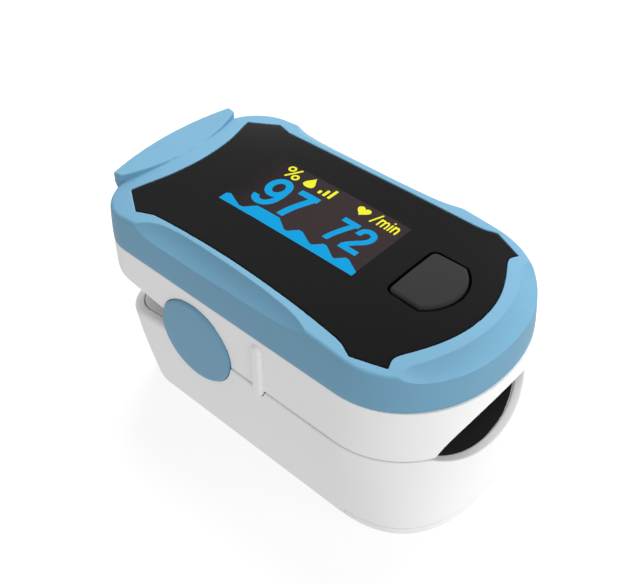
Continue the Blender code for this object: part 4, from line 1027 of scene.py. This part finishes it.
# the sheet reads as pale paper with a faint shadow, and throws an even glow back up at the object
paper = nt.nodes.new("ShaderNodeBsdfDiffuse")
paper.inputs["Color"].default_value = (0.34, 0.34, 0.34, 1)
base_glow = nt.nodes.new("ShaderNodeEmission")
base_glow.inputs["Strength"].default_value = 0.72
seen_sum = nt.nodes.new("ShaderNodeAddShader")
bounce = nt.nodes.new("ShaderNodeEmission")
bounce.inputs["Strength"].default_value = 0.79
seen = nt.nodes.new("ShaderNodeLightPath")
pick = nt.nodes.new("ShaderNodeMixShader")
nt.links.new(paper.outputs[0], seen_sum.inputs[0])
nt.links.new(base_glow.outputs[0], seen_sum.inputs[1])
nt.links.new(seen.outputs["Is Camera Ray"], pick.inputs[0])
nt.links.new(bounce.outputs[0], pick.inputs[1])
nt.links.new(seen_sum.outputs[0], pick.inputs[2])
nt.links.new(pick.outputs[0], nt.nodes["Material Output"].inputs["Surface"])
floor = link("floor", floor_me, FLOOR)

world = bpy.data.worlds.new("studio")
bpy.context.scene.world = world
world.use_nodes = True
wn = world.node_tree
bg = wn.nodes["Background"]
geo = wn.nodes.new("ShaderNodeTexCoord")
sep = wn.nodes.new("ShaderNodeSeparateXYZ")
wn.links.new(geo.outputs["Generated"], sep.inputs[0])
mr = wn.nodes.new("ShaderNodeMapRange")
mr.inputs["From Min"].default_value = -1.0
mr.inputs["From Max"].default_value = 1.0
mr.inputs["To Min"].default_value = 0.525
mr.inputs["To Max"].default_value = 0.59
wn.links.new(sep.outputs["X"], mr.inputs["Value"])
wn.links.new(mr.outputs["Result"], bg.inputs["Strength"])
bg.inputs["Color"].default_value = (1, 1, 1, 1)


def lamp(name, direction, watts, size, dist=0.6):
    data = bpy.data.lights.new(name, "AREA")
    data.energy, data.shape, data.size = watts, "DISK", size
    ob = bpy.data.objects.new(name, data)
    bpy.context.scene.collection.objects.link(ob)
    d = Vector(direction).normalized()
    ob.location = Vector((0, 0, 0.015)) + d * dist
    ob.rotation_euler = d.to_track_quat("Z", "Y").to_euler()
    ob.visible_glossy = False
    return ob


lamp("key", (-0.25, 0.62, 0.74), 4.05, 0.55)
lamp("fill", (0.92, 0.04, 0.36), 2.2, 0.8)

cam_data = bpy.data.cameras.new("camera")
cam = bpy.data.objects.new("camera", cam_data)
bpy.context.scene.collection.objects.link(cam)
az, el, roll = math.radians(41.478), math.radians(43.248), math.radians(0.736)
back = Vector((math.sin(az) * math.cos(el), -math.cos(az) * math.cos(el), math.sin(el)))
right = Vector((math.cos(az), math.sin(az), 0))
up = back.cross(right)
r2 = right * math.cos(roll) + up * math.sin(roll)
u2 = -right * math.sin(roll) + up * math.cos(roll)
cam.matrix_world = Matrix(((r2.x, u2.x, back.x, 0.069155), (r2.y, u2.y, back.y, -0.078126), (r2.z, u2.z, back.z, 0.116801), (0, 0, 0, 1)))
cam_data.lens, cam_data.sensor_width = 56.10, 36.0
cam_data.clip_start, cam_data.clip_end = 0.005, 20.0
bpy.context.scene.camera = cam
bpy.context.scene.view_settings.view_transform = "Standard"
bpy.context.scene.view_settings.look = "None"
